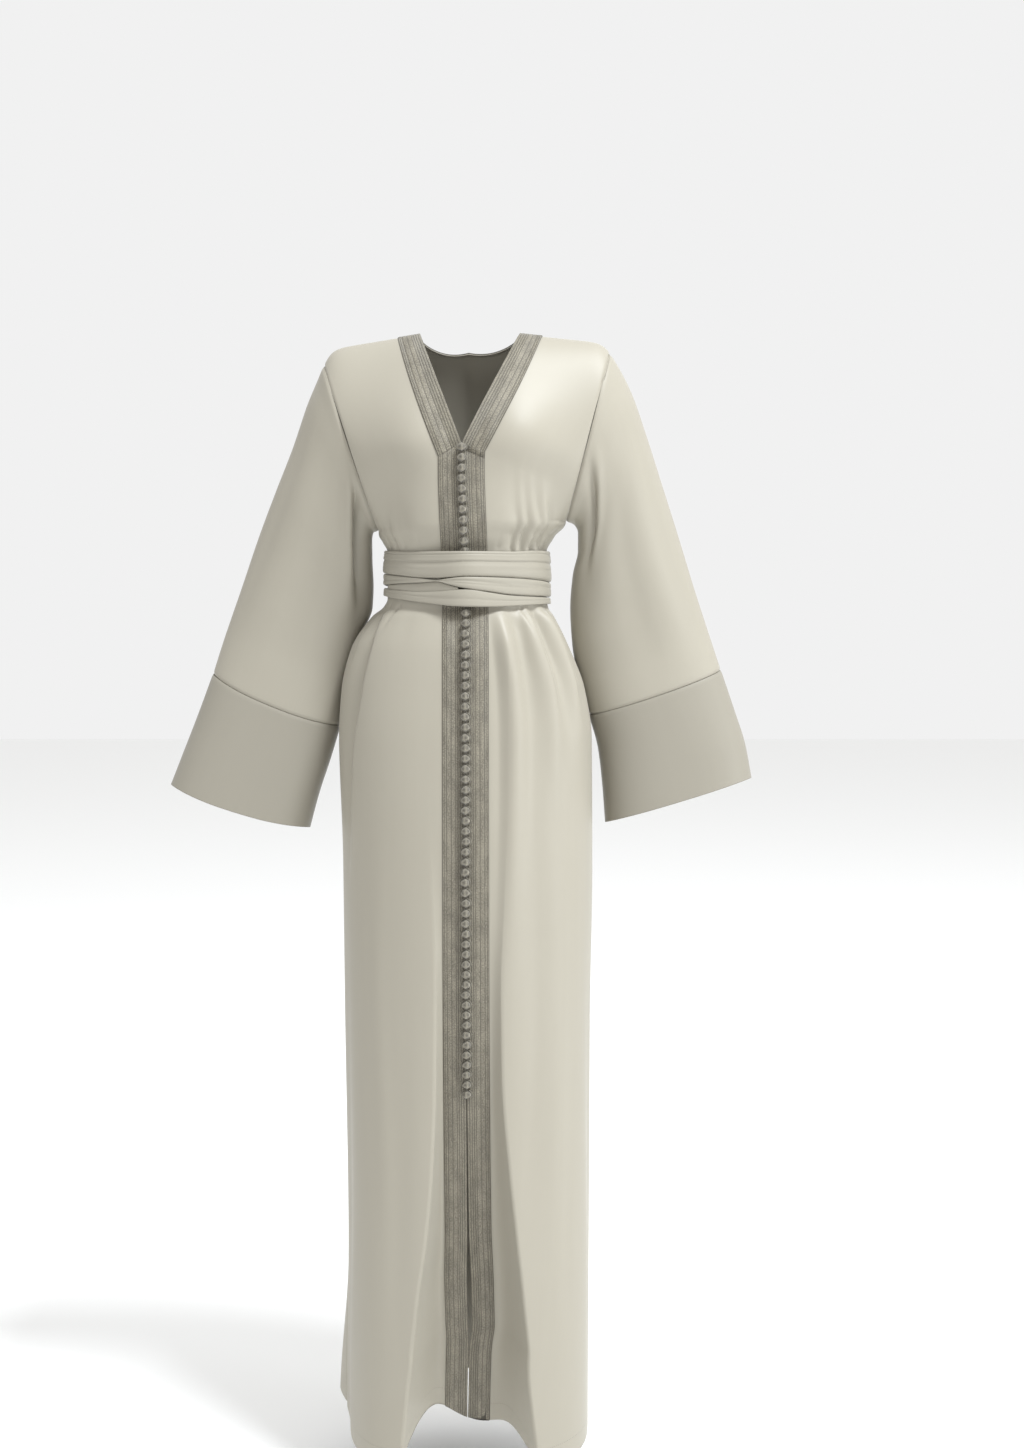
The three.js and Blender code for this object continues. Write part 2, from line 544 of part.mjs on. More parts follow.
// ---- Braid along the front edges and round the neck ----
const braidColumns = count(braid.columns);
const braidJoin = 0.0009; // half the join between front braid and neck braid, as a level
const rowClear = 0.01; // rows this near the join are left out
for (const name of ['right', 'left']) {
  const { surface, range } = frontSurface(name);
  const form = { thick: braid.thick, lift: braidLift, out: sides[name].side };
  const lower = [...bodyLevels.filter((level) => level < vLevel - rowClear), vLevel - braidJoin];
  const upper = [vLevel + braidJoin, ...bodyLevels.filter((level) => level > vLevel + rowClear)];
  add(`front_braid_${name}`, wallSolid(surface, braidColumns, lower, range, form),
    finish(colours.braid, 0.75));
  add(`neck_braid_${name}`, wallSolid(surface, braidColumns, upper, range, form),
    finish(colours.braid, 0.75));
}

// Round the back of the neck the braid's inner line is the cut edge and its outer line is one
// braid width further out on the shoulders and down the back.
const backBraid = { widen: 0.55, clear: 0.5, endGap: 0.008, steps: 14 };
function backNeckPoint(turn, across) {
  const name = nameOf(turn);
  const reach = neckShare(name) + (across * braid.width) / tipReach(name);
  const drop = backNeckDrop * (1 + across * backBraid.widen);
  const share = reach * Math.abs(Math.sin(turn));
  return bodyPoint(name, false, share, 1 - (drop * Math.cos(turn)) / quarterTurn);
}
const neckEnd = quarterTurn - backBraid.endGap;
const neckTurns = [-neckEnd, ...spread(-neckEnd, neckEnd, backBraid.steps)];
const neckRange = { u: [-neckEnd, neckEnd], v: [0, 1], du: 0.03, dv: () => 0.1 };
add('neck_braid_back', wallSolid(backNeckPoint, neckTurns, [0, 0.5, 1], neckRange,
  { thick: braid.thick, lift: braidLift + backBraid.clear, out: 1 }), finish(colours.braid, 0.75));

// ---- Sleeves and cuff bands ----

// A point on a sleeve: turn is 0 on the outer line and runs over the front to half a turn on
// the inner line. Ring numbers run from the armhole, 0, to the cuff's hem, 11.
function sleevePoint(name, table, turn, ring) {
  const { side } = sides[name];
  const value = (column) => through(table, 'ring', ring, column);
  const power = 2 / value('power');
  const along = signedPower(Math.cos(turn), power);
  const forward = signedPower(Math.sin(turn), power);
  const up = (1 + along) / 2;
  const x = mix(value('inX'), value('outX'), up);
  const z = mix(value('inZ'), value('outZ'), up);
  const axis = new THREE.Vector3(value('inZ') - value('outZ'), 0, value('outX') - value('inX'));
  axis.normalize().multiplyScalar(-1);
  const hang = value('drop') * Math.sin(turn) ** 2;
  const tilt = -forward * (hemTilt / 2) * ease((ring - cuffRing) / (lastRing - cuffRing));
  let lift = 0;
  const degrees = ((turn * 180) / halfTurn + 360) % 360;
  for (const fold of sleeveFolds[name]) {
    const way = (ring - fold.from) / (fold.to - fold.from);
    if (way <= 0 || way >= 1) continue;
    const middle = mix(fold.start, fold.end, way);
    lift += fold.height * ease(way / sleeveFoldEnds.rise) * ease((1 - way) / sleeveFoldEnds.fall)
      * bell((degrees - middle) / fold.half);
  }
  const point = new THREE.Vector3(x, value('back') - value('half') * forward, z);
  point.x += axis.x * (hang + tilt) + lift * Math.cos(turn);
  point.z += axis.z * (hang + tilt);
  point.y -= lift * Math.sin(turn);
  point.x = side * point.x;
  return point;
}

const armholeTurns = [0, ...yokeLevels].map((level) => halfTurn * (1 - level));
const sleeveTurns = [...armholeTurns, ...armholeTurns.slice(1, -1).reverse().map((t) => -t)]
  .map((t) => (t + 2 * halfTurn) % (2 * halfTurn)).sort((a, b) => a - b);
const sleeveStart = 1.3; // clear of the armhole's edge, across the body
const turnRange = { u: [-10, 20], du: 0.05, dv: () => 0.06 };

for (const name of ['right', 'left']) {
  const { side } = sides[name];
  const sleeve = (turn, ring) => {
    const point = sleevePoint(name, sleeveRings[name], turn, ring);
    point.x += side * sleeveStart;
    return point;
  };
  const cuff = (turn, ring) => {
    const point = sleevePoint(name, cuffRings[name], turn, ring);
    point.x += side * sleeveStart;
    return point;
  };
  const rings = [0, 0.5, 1, 1.5, ...spread(1, cuffRing - 1, cuffRing - 2),
    cuffRing - seamGap / ringSpacing];
  add(`sleeve_${name}`, wallSolid(sleeve, sleeveTurns, rings, { ...turnRange, v: [0, cuffRing] },
    { tube: true, out: side }), finish(colours.cloth, 0.5));
  const cuffRows = [cuffRing, ...spread(cuffRing, lastRing, lastRing - cuffRing)];
  add(`cuff_${name}`, wallSolid(cuff, sleeveTurns, cuffRows, { ...turnRange, v: [cuffRing, lastRing] },
    { tube: true, out: side }), finish(colours.cuff, 0.5));
}

// ---- Ball buttons on their backing cord ----

// The middle of the front at a height, between the two edges, moved out onto the braid.
function middleFront(z, lift) {
  const level = levelOf(z);
  const right = frontPoint('right', 0, level);
  const left = frontPoint('left', 0, level);
  const point = right.add(left).multiplyScalar(0.5);
  const deeper = Math.min(frontPoint('right', buttons.rest, level).y,
    frontPoint('left', buttons.rest, level).y);
  point.y = Math.min(point.y, deeper) - lift;
  point.z = z;
  return point;
}

// A row of balls is one tube that swells at each ball and narrows to the cord between them.
function buttonRow(first, last) {
  const ball = buttons.radius * buttons.fullness;
  const swell = [[-0.5, buttons.cord], [-buttons.flat, ball], [buttons.flat, ball]];
  const stations = [];
  for (let k = first; k <= last; k += 1) {
    for (const [share, radius] of swell) {
      stations.push({ z: buttons.top - buttons.pitch * (k + share), radius });
    }
  }
  stations.push({ z: buttons.top - buttons.pitch * (last + buttons.end), radius: buttons.cord });
  const rings = stations.map(({ z, radius }) => {
    const middle = middleFront(z, buttonLift);
    return count(buttons.turns - 1).map((k) => {
      const angle = (2 * halfTurn * k) / buttons.turns;
      return new THREE.Vector3(middle.x + radius * Math.cos(angle),
        middle.y + radius * Math.sin(angle), z);
    });
  });
  return loft(rings);
}

const buttonNumber = (z) => Math.round((buttons.top - z) / buttons.pitch);
const firstUnder = buttonNumber(sash.buttonsFrom);
const lastUnder = buttonNumber(sash.buttonsTo);
add('buttons_upper', buttonRow(0, firstUnder - 1), finish(colours.button, 0.7));
add('buttons_under_sash', buttonRow(firstUnder, lastUnder), finish(colours.button, 0.7));
add('buttons_lower', buttonRow(lastUnder + 1, buttons.count - 1), finish(colours.button, 0.7));

// ---- Sash ----

// A point round the waist; turn in degrees as for the folds. The sash takes one waist ring for
// its whole width and stands further out over the buttons.
function waistPoint(turn, z, lift) {
  const at = (angle) => {
    const name = angle < 0 ? 'right' : 'left';
    const front = Math.abs(angle) <= 90;
    const degrees = front ? Math.abs(angle) : 180 - Math.abs(angle);
    return bodyPoint(name, front, shareOf((degrees * halfTurn) / 180),
      sash.waistZ - underarmZ);
  };
  const wrap = (angle) => ((angle + 540) % 360) - 180;
  const along = at(wrap(turn + sash.tangentTurn)).sub(at(wrap(turn - sash.tangentTurn))).normalize();
  const point = at(wrap(turn));
  const over = Math.abs(turn) < 90
    ? sash.overButtons * bell((point.x - sash.buttonX) / sash.buttonReach) : 0;
  const out = sash.clear + over + lift;
  point.x += along.y * out;
  point.y -= along.x * out;
  point.z = z;
  return point;
}

function sashFold(face, topOf, lowOf, turns, hoop) {
  const rings = turns.map((turn) => {
    const top = topOf(turn);
    const low = lowOf(turn);
    const ring = sashFaces[face].map(([share, height]) => {
      const z = mix(top, low, share);
      return waistPoint(turn, z, height);
    });
    ring.push(waistPoint(turn, low, 0), waistPoint(turn, top, 0));
    return ring;
  });
  return loft(rings, hoop);
}

const edge = (column, shift = 0) => (turn) => through(sashEdges, 'turn', turn, column) + shift;
const hoopTurns = count(sash.stations - 1).map((k) => -180 + (360 * k) / sash.stations);
const innerTurns = [innerFold.from, ...spread(innerFold.from, innerFold.to, innerFold.steps)];
const sashCloth = () => finish(colours.sash, 0.5);
add('sash_upper', sashFold('upper', edge('top'), edge('upper'), hoopTurns, true), sashCloth());
add('sash_middle', sashFold('middle', edge('middleTop'), edge('middle', sash.gap), hoopTurns, true),
  sashCloth());
add('sash_inner_fold', sashFold('lens', edge('middle', -sash.gap), edge('lens', sash.gap),
  innerTurns, false), sashCloth());
add('sash_lower', sashFold('lower', edge('lens'), edge('low'), hoopTurns, true), sashCloth());

export default kaftan;
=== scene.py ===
import bpy
import numpy as np
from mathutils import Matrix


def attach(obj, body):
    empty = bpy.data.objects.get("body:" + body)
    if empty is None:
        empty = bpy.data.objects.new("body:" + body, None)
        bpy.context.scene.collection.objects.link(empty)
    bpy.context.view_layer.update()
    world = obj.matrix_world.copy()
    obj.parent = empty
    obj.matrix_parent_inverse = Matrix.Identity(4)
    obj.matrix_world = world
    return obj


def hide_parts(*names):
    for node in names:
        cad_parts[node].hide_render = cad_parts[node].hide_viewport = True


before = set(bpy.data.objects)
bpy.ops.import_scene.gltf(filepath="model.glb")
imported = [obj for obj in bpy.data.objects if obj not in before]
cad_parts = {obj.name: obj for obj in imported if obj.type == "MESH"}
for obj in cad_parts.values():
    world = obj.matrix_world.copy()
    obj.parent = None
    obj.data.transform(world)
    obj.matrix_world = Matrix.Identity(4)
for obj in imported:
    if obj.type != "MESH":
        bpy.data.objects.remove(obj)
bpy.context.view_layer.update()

# A long kaftan as it hangs when worn. Shapes are worked out in millimetres and go into the
# meshes in metres. Heights are counted from the shoulder line, the front is towards -Y and
# the wearer's left is +X, so "right" is at -X.
mm = 0.001
pi = np.pi
quarterTurn = pi / 2


def table(names, *rows):  # a table with named columns, one tuple to a row
    return dict(zip(names.split(), np.array(rows, float).T))


def rowsOf(columns):  # the same table, row by row
    names = list(columns)
    return [dict(zip(names, row)) for row in zip(*columns.values())]


def mix(a, b, t):  # the share t of the way from a to b
    return a + (b - a) * t


def clamp(t):
    return np.clip(t, 0, 1)


def ease(t):  # a soft step, 3t^2 - 2t^3
    return clamp(t) ** 2 * (3 - 2 * clamp(t))


def bell(t):  # e to the power -t^2
    return np.exp(-np.square(t))


def lobe(off, near, far):  # a bell with one half width below its middle and another above it
    return bell(off / np.where(off < 0, near, far))


def wrapped(degrees):  # the same angle between -180 and 180
    return np.mod(degrees + 180, 360) - 180


def signedPower(t, p):  # a power that keeps the sign
    return np.sign(t) * np.abs(t) ** p


def steps(*stops):  # places along a line: a first place, then (next place, number of steps) pairs
    places = [np.array([stops[0]], float)]
    for place, count in stops[1:]:
        places.append(np.linspace(places[-1][-1], place, count + 1)[1:])
    return np.concatenate(places)


# A smooth curve through one column of a table: cubic pieces whose slope at a row is the
# harmonic mean of the slopes on its two sides, so that it never swings past the rows.
def through(columns, key, column, at):
    places, values = columns[key], columns[column]
    if places[0] > places[-1]:
        places, values = places[::-1], values[::-1]
    span = np.diff(places)
    slope = np.diff(values) / span
    both = slope[:-1] * slope[1:]
    inner = np.where(both > 0, 2 * both / np.where(both > 0, slope[:-1] + slope[1:], 1), 0)
    tangent = np.concatenate([slope[:1], inner, slope[-1:]])
    at = np.clip(at, places[0], places[-1])
    row = np.clip(np.searchsorted(places, at, side="right") - 1, 0, len(span) - 1)
    t = (at - places[row]) / span[row]
    level = (2 * t**3 - 3 * t**2 + 1) * values[row] + (3 * t**2 - 2 * t**3) * values[row + 1]
    bend = (t**3 - 2 * t**2 + t) * tangent[row] + (t**3 - t**2) * tangent[row + 1]
    return level + bend * span[row]


# The garment's own sizes.
body = {
    "hemZ": -1490, "underarmZ": -255, "neckPointZ": 0, "vBottomZ": -153,
    "roundness": 2.2,  # power of the level rings: 2 is an ellipse, more is squarer
    "armholeDepth": 58, "backNeckDrop": 23 * pi / 180, "neckMiddleX": 6,
    "fadeHeight": 45, "fadeWidth": 18,  # below the underarm each side's own height and width fade
    "armpitLevel": 0.42, "armpitPower": 7,  # over these levels the armhole's depth stays near it
    "tipPower": 15,  # how late the shoulder line rolls over its tip: more is a tighter corner
    "cloth": 1.0,  # how thick the shells are
    "seamDip": 1.5, "seamHalf": 2.8,  # the cloth sinks a little into each seam
    "sashZ": -325, "sashHalf": 32, "sashFade": 30,  # where the sash presses the cloth flat
}
# Each side's shoulder tip, underarm and neck point, and how high its shoulder line arches.
sides = {
    "right": {"side": -1, "tipX": 191, "tipZ": -42, "underarmX": 118, "underarmZ": -264,
              "neckX": 61, "arch": 21},
    "left": {"side": 1, "tipX": 195, "tipZ": -26, "underarmX": 136, "underarmZ": -251,
             "neckX": 74, "arch": 14},
}
# Level rings from under the arms to the hem: half widths of the two sides, depths front and back.
trunk = table(
    "z right left front back",
    (-240, 118, 132, 105, 91),
    (-255, 118, 132, 104, 90),
    (-275, 112, 120, 99, 86.5),
    (-292, 106, 110, 93, 82.5),
    (-356, 106, 110, 92, 82),
    (-368, 112, 112, 92.5, 83),
    (-380, 127, 120, 98, 94),
    (-425, 156, 142, 112, 106),
    (-478, 168, 162, 119, 115),
    (-546, 172, 172, 126, 121),
    (-730, 168, 173, 134, 125),
    (-925, 167, 170, 139, 126),
    (-1228, 164, 169, 146, 128),
    (-1490, 165, 167, 151, 131),
)
# The front edges sway a little to one side and part below the last button.
frontEdges = table(
    "z middle halfGap",
    (0, -3, 0.3),
    (-170, -3, 0.3),
    (-290, 0, 0.3),
    (-430, 2, 0.3),
    (-1020, 3, 0.4),
    (-1200, 4, 1),
    (-1285, 5, 3.1),
    (-1345, 6, 3.0),
    (-1370, 5, 1.0),
    (-1390, 4, 0.4),
    (-1490, 2, 0.5),
)
# The deep fold that the front edges sink into: floor and crest across from the edge, and depth.
centreFold = table(
    "z rightFloor rightCrest leftFloor leftCrest depth",
    (0, 30, 52, 30, 52, 0),
    (-600, 30, 50, 30, 54, 0),
    (-760, 30, 42, 30, 50, 3),
    (-860, 30, 39, 30, 46, 8),
    (-987, 30, 40, 30, 47, 18),
    (-1113, 31, 45, 31, 56, 36),
    (-1207, 32, 54, 32, 65, 52),
    (-1303, 34, 67, 34, 72, 68),
    (-1383, 34, 78, 30, 81, 82),
    (-1490, 28, 88, 18, 97, 98),
)
# The hem drops at the front and is lifted here and there: angle, half width and rise.
hem = {
    "frontDrop": 30, "start": -1280,
    "lifts": table("turn half rise", (-14, 14, 32), (18, 9, 14), (-108, 28, 14)),
}
# Folds and creases: height where each starts and ends, its angle round the body there (0 is the
# middle front, 90 the wearer's left side), half widths in degrees on the side of the smaller and
# of the larger angle, height in mm, where along it that is reached, and how far it sways. The
# first 17 are the garment's main folds.
foldColumns = "top end start finish near far height peak sway"
swayPace = {"body": 7, "sleeve": 6}  # radians of sway from one end of a fold to the other
folds = table(
    foldColumns,
    (-358, -1080, 20.5, 15, 5, 7, 9, 0.08, 0),
    (-358, -760, 29, 28, 5, 6, -6, 0.1, 0),
    (-358, -680, 38, 43, 5, 6, 8, 0.1, 0),
    (-358, -600, 49, 52, 4.5, 5, -6, 0.12, 0),
    (-358, -620, 59, 62, 5, 7, 8, 0.12, 0),
    (-170, -291, 26, 31, 5, 5, -3, 0.85, 0),
    (-190, -291, 36, 40, 5, 5, -3, 0.85, 0),
    (-180, -291, 46, 49, 5, 5, 3, 0.85, 0),
    (-200, -291, 55, 56, 4, 4, -3, 0.85, 0),
    (-358, -600, -66, -74, 11, 11, -8, 0.3, 0),
    (-358, -700, -98, -98, 14, 14, 3, 0.4, 0),
    (-210, -291, -41, -41, 6, 6, -2, 0.85, 0),
    (-220, -291, -59, -59, 6, 6, -2, 0.85, 0),
    (-1180, -1640, -106, -112, 17, 17, 25, 0.8, 0),
    (-1180, -1640, -84, -84, 9, 9, -4, 0.8, 0),
    (-700, -1800, 64, 60, 20, 20, 8, 0.8, 0),
    (-760, -1800, -52, -50, 18, 18, 5, 0.8, 0),
    # finer creases below the sash
    (-360, -980, 14.2, 11.6, 2.2, 3.2, -2.6, 0.15, 0.3),
    (-360, -960, 21, 17, 3, 5, 2.6, 0.12, 0.4),
    (-360, -470, 35.5, 33, 3.2, 3.2, -3.4, 0.12, 0.5),
    (-360, -410, 39.2, 40.6, 1.4, 2.2, -4.4, 0.25, 0.2),
    (-362, -600, 43.5, 43, 2.6, 4, 3, 0.15, 0.6),
    (-362, -500, 52, 53, 2, 3.4, -3, 0.15, 0.5),
    (-364, -540, 63, 60, 3, 4, 3, 0.2, 0.6),
    (-362, -440, 72, 74, 3, 3, -2.4, 0.25, 0.3),
    (-362, -470, 82, 84, 3, 3, -2, 0.25, 0.4),
    (-362, -404, -51, -49.5, 2.6, 1.6, -3.6, 0.25, 0.2),
    (-364, -430, -69, -66, 2.6, 2.6, -2.4, 0.3, 0.4),
    (-362, -480, -80, -83, 3.4, 3.4, -2.6, 0.25, 0.4),
    (-364, -450, -33, -31, 5, 5, -0.9, 0.3, 0.4),
    # finer creases above the sash
    (-226, -306, 27, 33.5, 1.2, 2.4, -4, 0.88, 0.1),
    (-150, -316, 25.5, 37.5, 1.9, 2.1, 2.4, 0.85, 0.1),
    (-192, -306, 30.2, 42.5, 1.2, 2.4, -3.8, 0.85, 0.1),
    (-156, -316, 31, 48, 2.1, 2.1, 2.3, 0.85, 0.1),
    (-188, -306, 36.4, 53.3, 1.5, 2.4, -3.6, 0.85, 0.1),
    (-164, -316, 38.9, 59.4, 2.3, 2.3, 2.2, 0.85, 0.1),
    (-202, -306, 47, 67, 1.9, 2.8, -3.2, 0.88, 0.1),
    (-236, -293, 69, 71, 3, 3, -2, 0.9, 0.2),
    (-240, -293, 21, 21.5, 2.2, 2.2, -1, 0.92, 0.1),
    (-230, -293, -47, -45, 1.8, 1.8, -1.3, 0.92, 0.2),
    (-236, -293, -57, -56, 1.6, 1.6, -1.6, 0.92, 0.2),
    (-244, -293, -66, -66, 2.4, 2.4, -1.7, 0.92, 0.2),
    (-250, -293, -31, -30, 1.8, 1.8, -0.8, 0.92, 0.1),
    # soft long waves down the skirt
    (-560, -1500, 31, 27, 6, 6, -2.6, 0.35, 1.5),
    (-620, -1520, 44, 45, 6, 6, 2.4, 0.4, 1.6),
    (-820, -1560, -28, -31, 7, 7, -2, 0.5, 1.4),
    (-560, -1380, -41, -38, 5, 5, 1.6, 0.5, 1.6),
    (-700, -1560, 76, 79, 6, 6, -3, 0.6, 1.8),
    (-640, -1500, -72, -76, 6, 6, -2.6, 0.6, 1.6),
)
backGathers = {"start": 112, "finish": 248, "count": 8, "half": 7, "height": 3.5, "top": -292,
               "above": 110, "foot": -360, "below": 300, "rise": 14}
backCreases = table(  # uneven creases among the back's gathers, above and below the sash
    foldColumns,
    (-168, -293, 121, 118, 2.4, 2.4, -2.6, 0.9, 0.7),
    (-204, -293, 137, 139, 2, 2, -2.4, 0.9, 0.5),
    (-188, -293, 158, 155, 2.6, 2.6, -2.8, 0.92, 0.8),
    (-222, -293, 171, 173, 2, 2, -2, 0.92, 0.4),
    (-180, -293, -176, -172, 2.4, 2.4, -2.6, 0.9, 0.7),
    (-214, -293, -159, -160, 2.2, 2.2, -2.2, 0.92, 0.4),
    (-192, -293, -142, -145, 2.6, 2.6, -2.8, 0.9, 0.7),
    (-226, -293, -123, -121, 2.2, 2.2, -2.2, 0.9, 0.4),
    (-360, -520, 115, 118, 2.8, 2.8, -3, 0.18, 0.7),
    (-360, -660, 133, 131, 3, 3, 2.6, 0.16, 1.1),
    (-360, -470, 142, 144, 2.2, 2.2, -3, 0.16, 0.5),
    (-360, -720, 160, 164, 3.2, 3.2, -3, 0.14, 1.2),
    (-360, -560, 176, 175, 2.8, 2.8, 2.4, 0.16, 0.8),
    (-360, -500, -168, -170, 2.2, 2.2, -3, 0.16, 0.5),
    (-360, -690, -152, -149, 3.2, 3.2, -3, 0.14, 1.1),
    (-360, -540, -136, -138, 2.8, 2.8, 2.4, 0.16, 0.8),
    (-360, -480, -120, -118, 2.4, 2.4, -3, 0.18, 0.5),
    (-700, -1600, 150, 147, 5, 5, -5, 0.7, 1.6),
    (-820, -1600, -166, -169, 5, 5, -4, 0.7, 1.6),
    (-760, -1600, -128, -124, 5, 5, -4, 0.7, 1.4),
)
backHangs = {"start": 124, "finish": 236, "count": 5, "half": 13, "height": 9, "top": -560}
bust = {"across": 72, "z": -146, "reachX": 56, "above": 66, "below": 46, "height": 20, "lowZ": -215,
        "lowReach": 50, "lowHeight": 4, "foot": -330, "fade": 60}
# Faint unevenness all over the cloth: two waves round the body that lean opposite ways.
ripples = {"height": 0.16, "waves": table("count lean shift", (5, 1, 0), (8, -1.7, 2)), "lengthZ": 210}


# A place on the body's surface is an angle round it and a level: millimetres below the underarm
# where that is 0 or less, and above it the share, up to 1, of the way round to the shoulder line.
# These give a level's height, a sine of the share above the underarm, and the level of a height.
def heightOf(level):
    up = np.sin(clamp(level) * quarterTurn)
    above = mix(body["underarmZ"], body["neckPointZ"], up)
    return np.where(level <= 0, body["underarmZ"] + level, above)


def levelOf(z):
    up = (z - body["underarmZ"]) / (body["neckPointZ"] - body["underarmZ"])
    return np.where(z <= body["underarmZ"], z - body["underarmZ"], np.arcsin(clamp(up)) / quarterTurn)


# Both ends of a level quarter ring: at the middle line, and at the side or on the armhole,
# a slanted ellipse from the underarm to the shoulder tip.
def quarterEnds(name, front, level):
    at, face = sides[name], -1 if front else 1
    z, up, below = heightOf(level), clamp(level), level <= 0
    middle = through(frontEdges, "z", "middle", z)
    deep = through(trunk, "z", "front" if front else "back", np.minimum(z, body["underarmZ"]))
    if front:
        wide = clamp((z - body["vBottomZ"]) / (body["neckPointZ"] - body["vBottomZ"]))
        edge = middle + at["side"] * through(frontEdges, "z", "halfGap", z)
        innerX = mix(edge, at["side"] * at["neckX"], wide)
    else:
        innerX = mix(middle, body["neckMiddleX"], up)
    tilt = (at["underarmZ"] - body["underarmZ"]) * ease(1 + level / body["fadeHeight"])
    reach = mix(through(trunk, "z", name, z), at["underarmX"], ease(1 + level / body["fadeWidth"]))
    rise = (1 - np.cos(pi * up)) / 2
    inner = (innerX, face * deep * np.cos(up * quarterTurn), z)
    outer = (at["side"] * np.where(below, reach, mix(at["underarmX"], at["tipX"], rise)),
             face * body["armholeDepth"] * np.sin(pi * up),
             np.where(below, z + tilt, mix(at["underarmZ"], at["tipZ"], rise)))
    return inner, outer


# The long curved fold at the wearer's right hip: its edge is crisp towards the front, and the
# cloth beyond it lies lower.
hipFold = {
    "path": table("z turn", (-358, -66.5), (-384, -61.6), (-426, -54.5), (-472, -55.2), (-519, -58.5),
                  (-566, -62), (-640, -65), (-720, -67)),
    "near": 12, "far": 1.0, "height": -13, "top": -358, "end": -760, "fade": 26, "hold": 1.6,
}


# Height of folds at a place: each is a bell across, rising to its peak and dying away.
def creased(columns, turn, z):
    height = np.zeros(np.broadcast(turn, z).shape)
    for number, fold in enumerate(rowsOf(columns)):
        way = (z - fold["top"]) / (fold["end"] - fold["top"])
        fade = np.where(way < fold["peak"], ease(way / fold["peak"]), ease((1 - way) / (1 - fold["peak"])))
        sway = fold["sway"] * np.sin(way * swayPace["body"] + number)
        off = wrapped(turn - (mix(fold["start"], fold["finish"], way) + sway))
        height += fold["height"] * fade * lobe(off, fold["near"], fold["far"])
    return height


# All the folds of the body together: creases, the back's gathers and hangs, the hip's fold, ripples.
def foldHeight(turn, z):
    height = creased(folds, turn, z) + creased(backCreases, turn, z)
    ring = np.mod(turn + 360, 360)
    above, under = z - backGathers["top"], backGathers["foot"] - z
    drawn = (ease(above / backGathers["rise"]) * clamp(1 - above / backGathers["above"])
             + ease(under / backGathers["rise"]) * clamp(1 - under / backGathers["below"]))
    hung = clamp((backHangs["top"] - z) / (backHangs["top"] - body["hemZ"]))
    for drape, share in ((backGathers, drawn), (backHangs, hung)):
        for place in np.linspace(drape["start"], drape["finish"], drape["count"]):
            height += drape["height"] * share * bell((ring - place) / drape["half"])
    drop = lobe(turn - through(hipFold["path"], "z", "turn", z), hipFold["near"], hipFold["far"])
    height += (hipFold["height"] * drop * ease((hipFold["top"] - z) / hipFold["fade"])
               * ease((z - hipFold["end"]) / (hipFold["top"] - hipFold["end"]) * hipFold["hold"]))
    held = ease((np.abs(z - body["sashZ"]) - body["sashHalf"]) / body["sashFade"])
    around, along = np.radians(turn), z / ripples["lengthZ"]
    faint = sum(np.sin(around * wave["count"] + along * wave["lean"] + wave["shift"])
                for wave in rowsOf(ripples["waves"]))
    return height + ripples["height"] * faint * held


# A point of the body's middle surface. The level ring is a superellipse quarter between its two
# ends; folds stand off it, the hem is lifted and dropped, the bust is full, and the front sinks
# into the centre fold.
def bodyPoint(name, front, share, level):
    at = sides[name]
    inner, outer = quarterEnds(name, front, level)
    share = clamp(share)
    angle = np.arcsin(share ** (body["roundness"] / 2))
    deep = np.cos(angle) ** (2 / body["roundness"])
    x = mix(inner[0], outer[0], share)
    near = share ** (body["armpitPower"] * ease(1 - level / body["armpitLevel"]))
    y = inner[1] * deep + outer[1] * (1 - deep) * np.where(level > 0, near, 1)
    z = mix(inner[2], outer[2], share)
    z = z + at["arch"] * ease(2 * level - 1) * (share - share ** body["tipPower"])
    degrees = np.degrees(angle)
    turn = at["side"] * (degrees if front else 180 - degrees)
    lift = foldHeight(turn, z)
    x = x + at["side"] * np.sin(angle) * lift
    y = y + (-1 if front else 1) * np.cos(angle) * lift
    low = ease((hem["start"] - z) / (hem["start"] - body["hemZ"]))
    for swag in rowsOf(hem["lifts"]):
        z = z + low * swag["rise"] * bell((turn - swag["turn"]) / swag["half"])
    if front:
        across = np.abs(x - inner[0])
        full = bust["height"] * lobe(z - bust["z"], bust["below"], bust["above"])
        full = full + bust["lowHeight"] * bell((z - bust["lowZ"]) / bust["lowReach"])
        full = full * bell((np.abs(x) - bust["across"]) / bust["reachX"])
        full = full * ease((z - bust["foot"]) / bust["fade"])
        y = y - full * np.sqrt(np.cos(angle))
        floor = through(centreFold, "z", name + "Floor", z)
        crest = through(centreFold, "z", name + "Crest", z)
        climb = clamp((across - floor) / (crest - floor))
        y = y + through(centreFold, "z", "depth", z) * np.cos(climb * quarterTurn)
        z = z - low * hem["frontDrop"] * np.sqrt(deep) * climb**4
    return np.stack(np.broadcast_arrays(x, y, z), -1)


braidWidth = 30
frontColumns = {"braid": 3, "crest": 6, "side": 15}
backColumns = {"neck": 3, "side": 13}
sideTurn = quarterTurn - 0.0005


# From an angle on a level quarter ring to its share of the width, and back.
def shareOf(angle):
    return np.sin(angle) ** (2 / body["roundness"])


def angleOf(share):
    return np.arcsin(clamp(share) ** (body["roundness"] / 2))


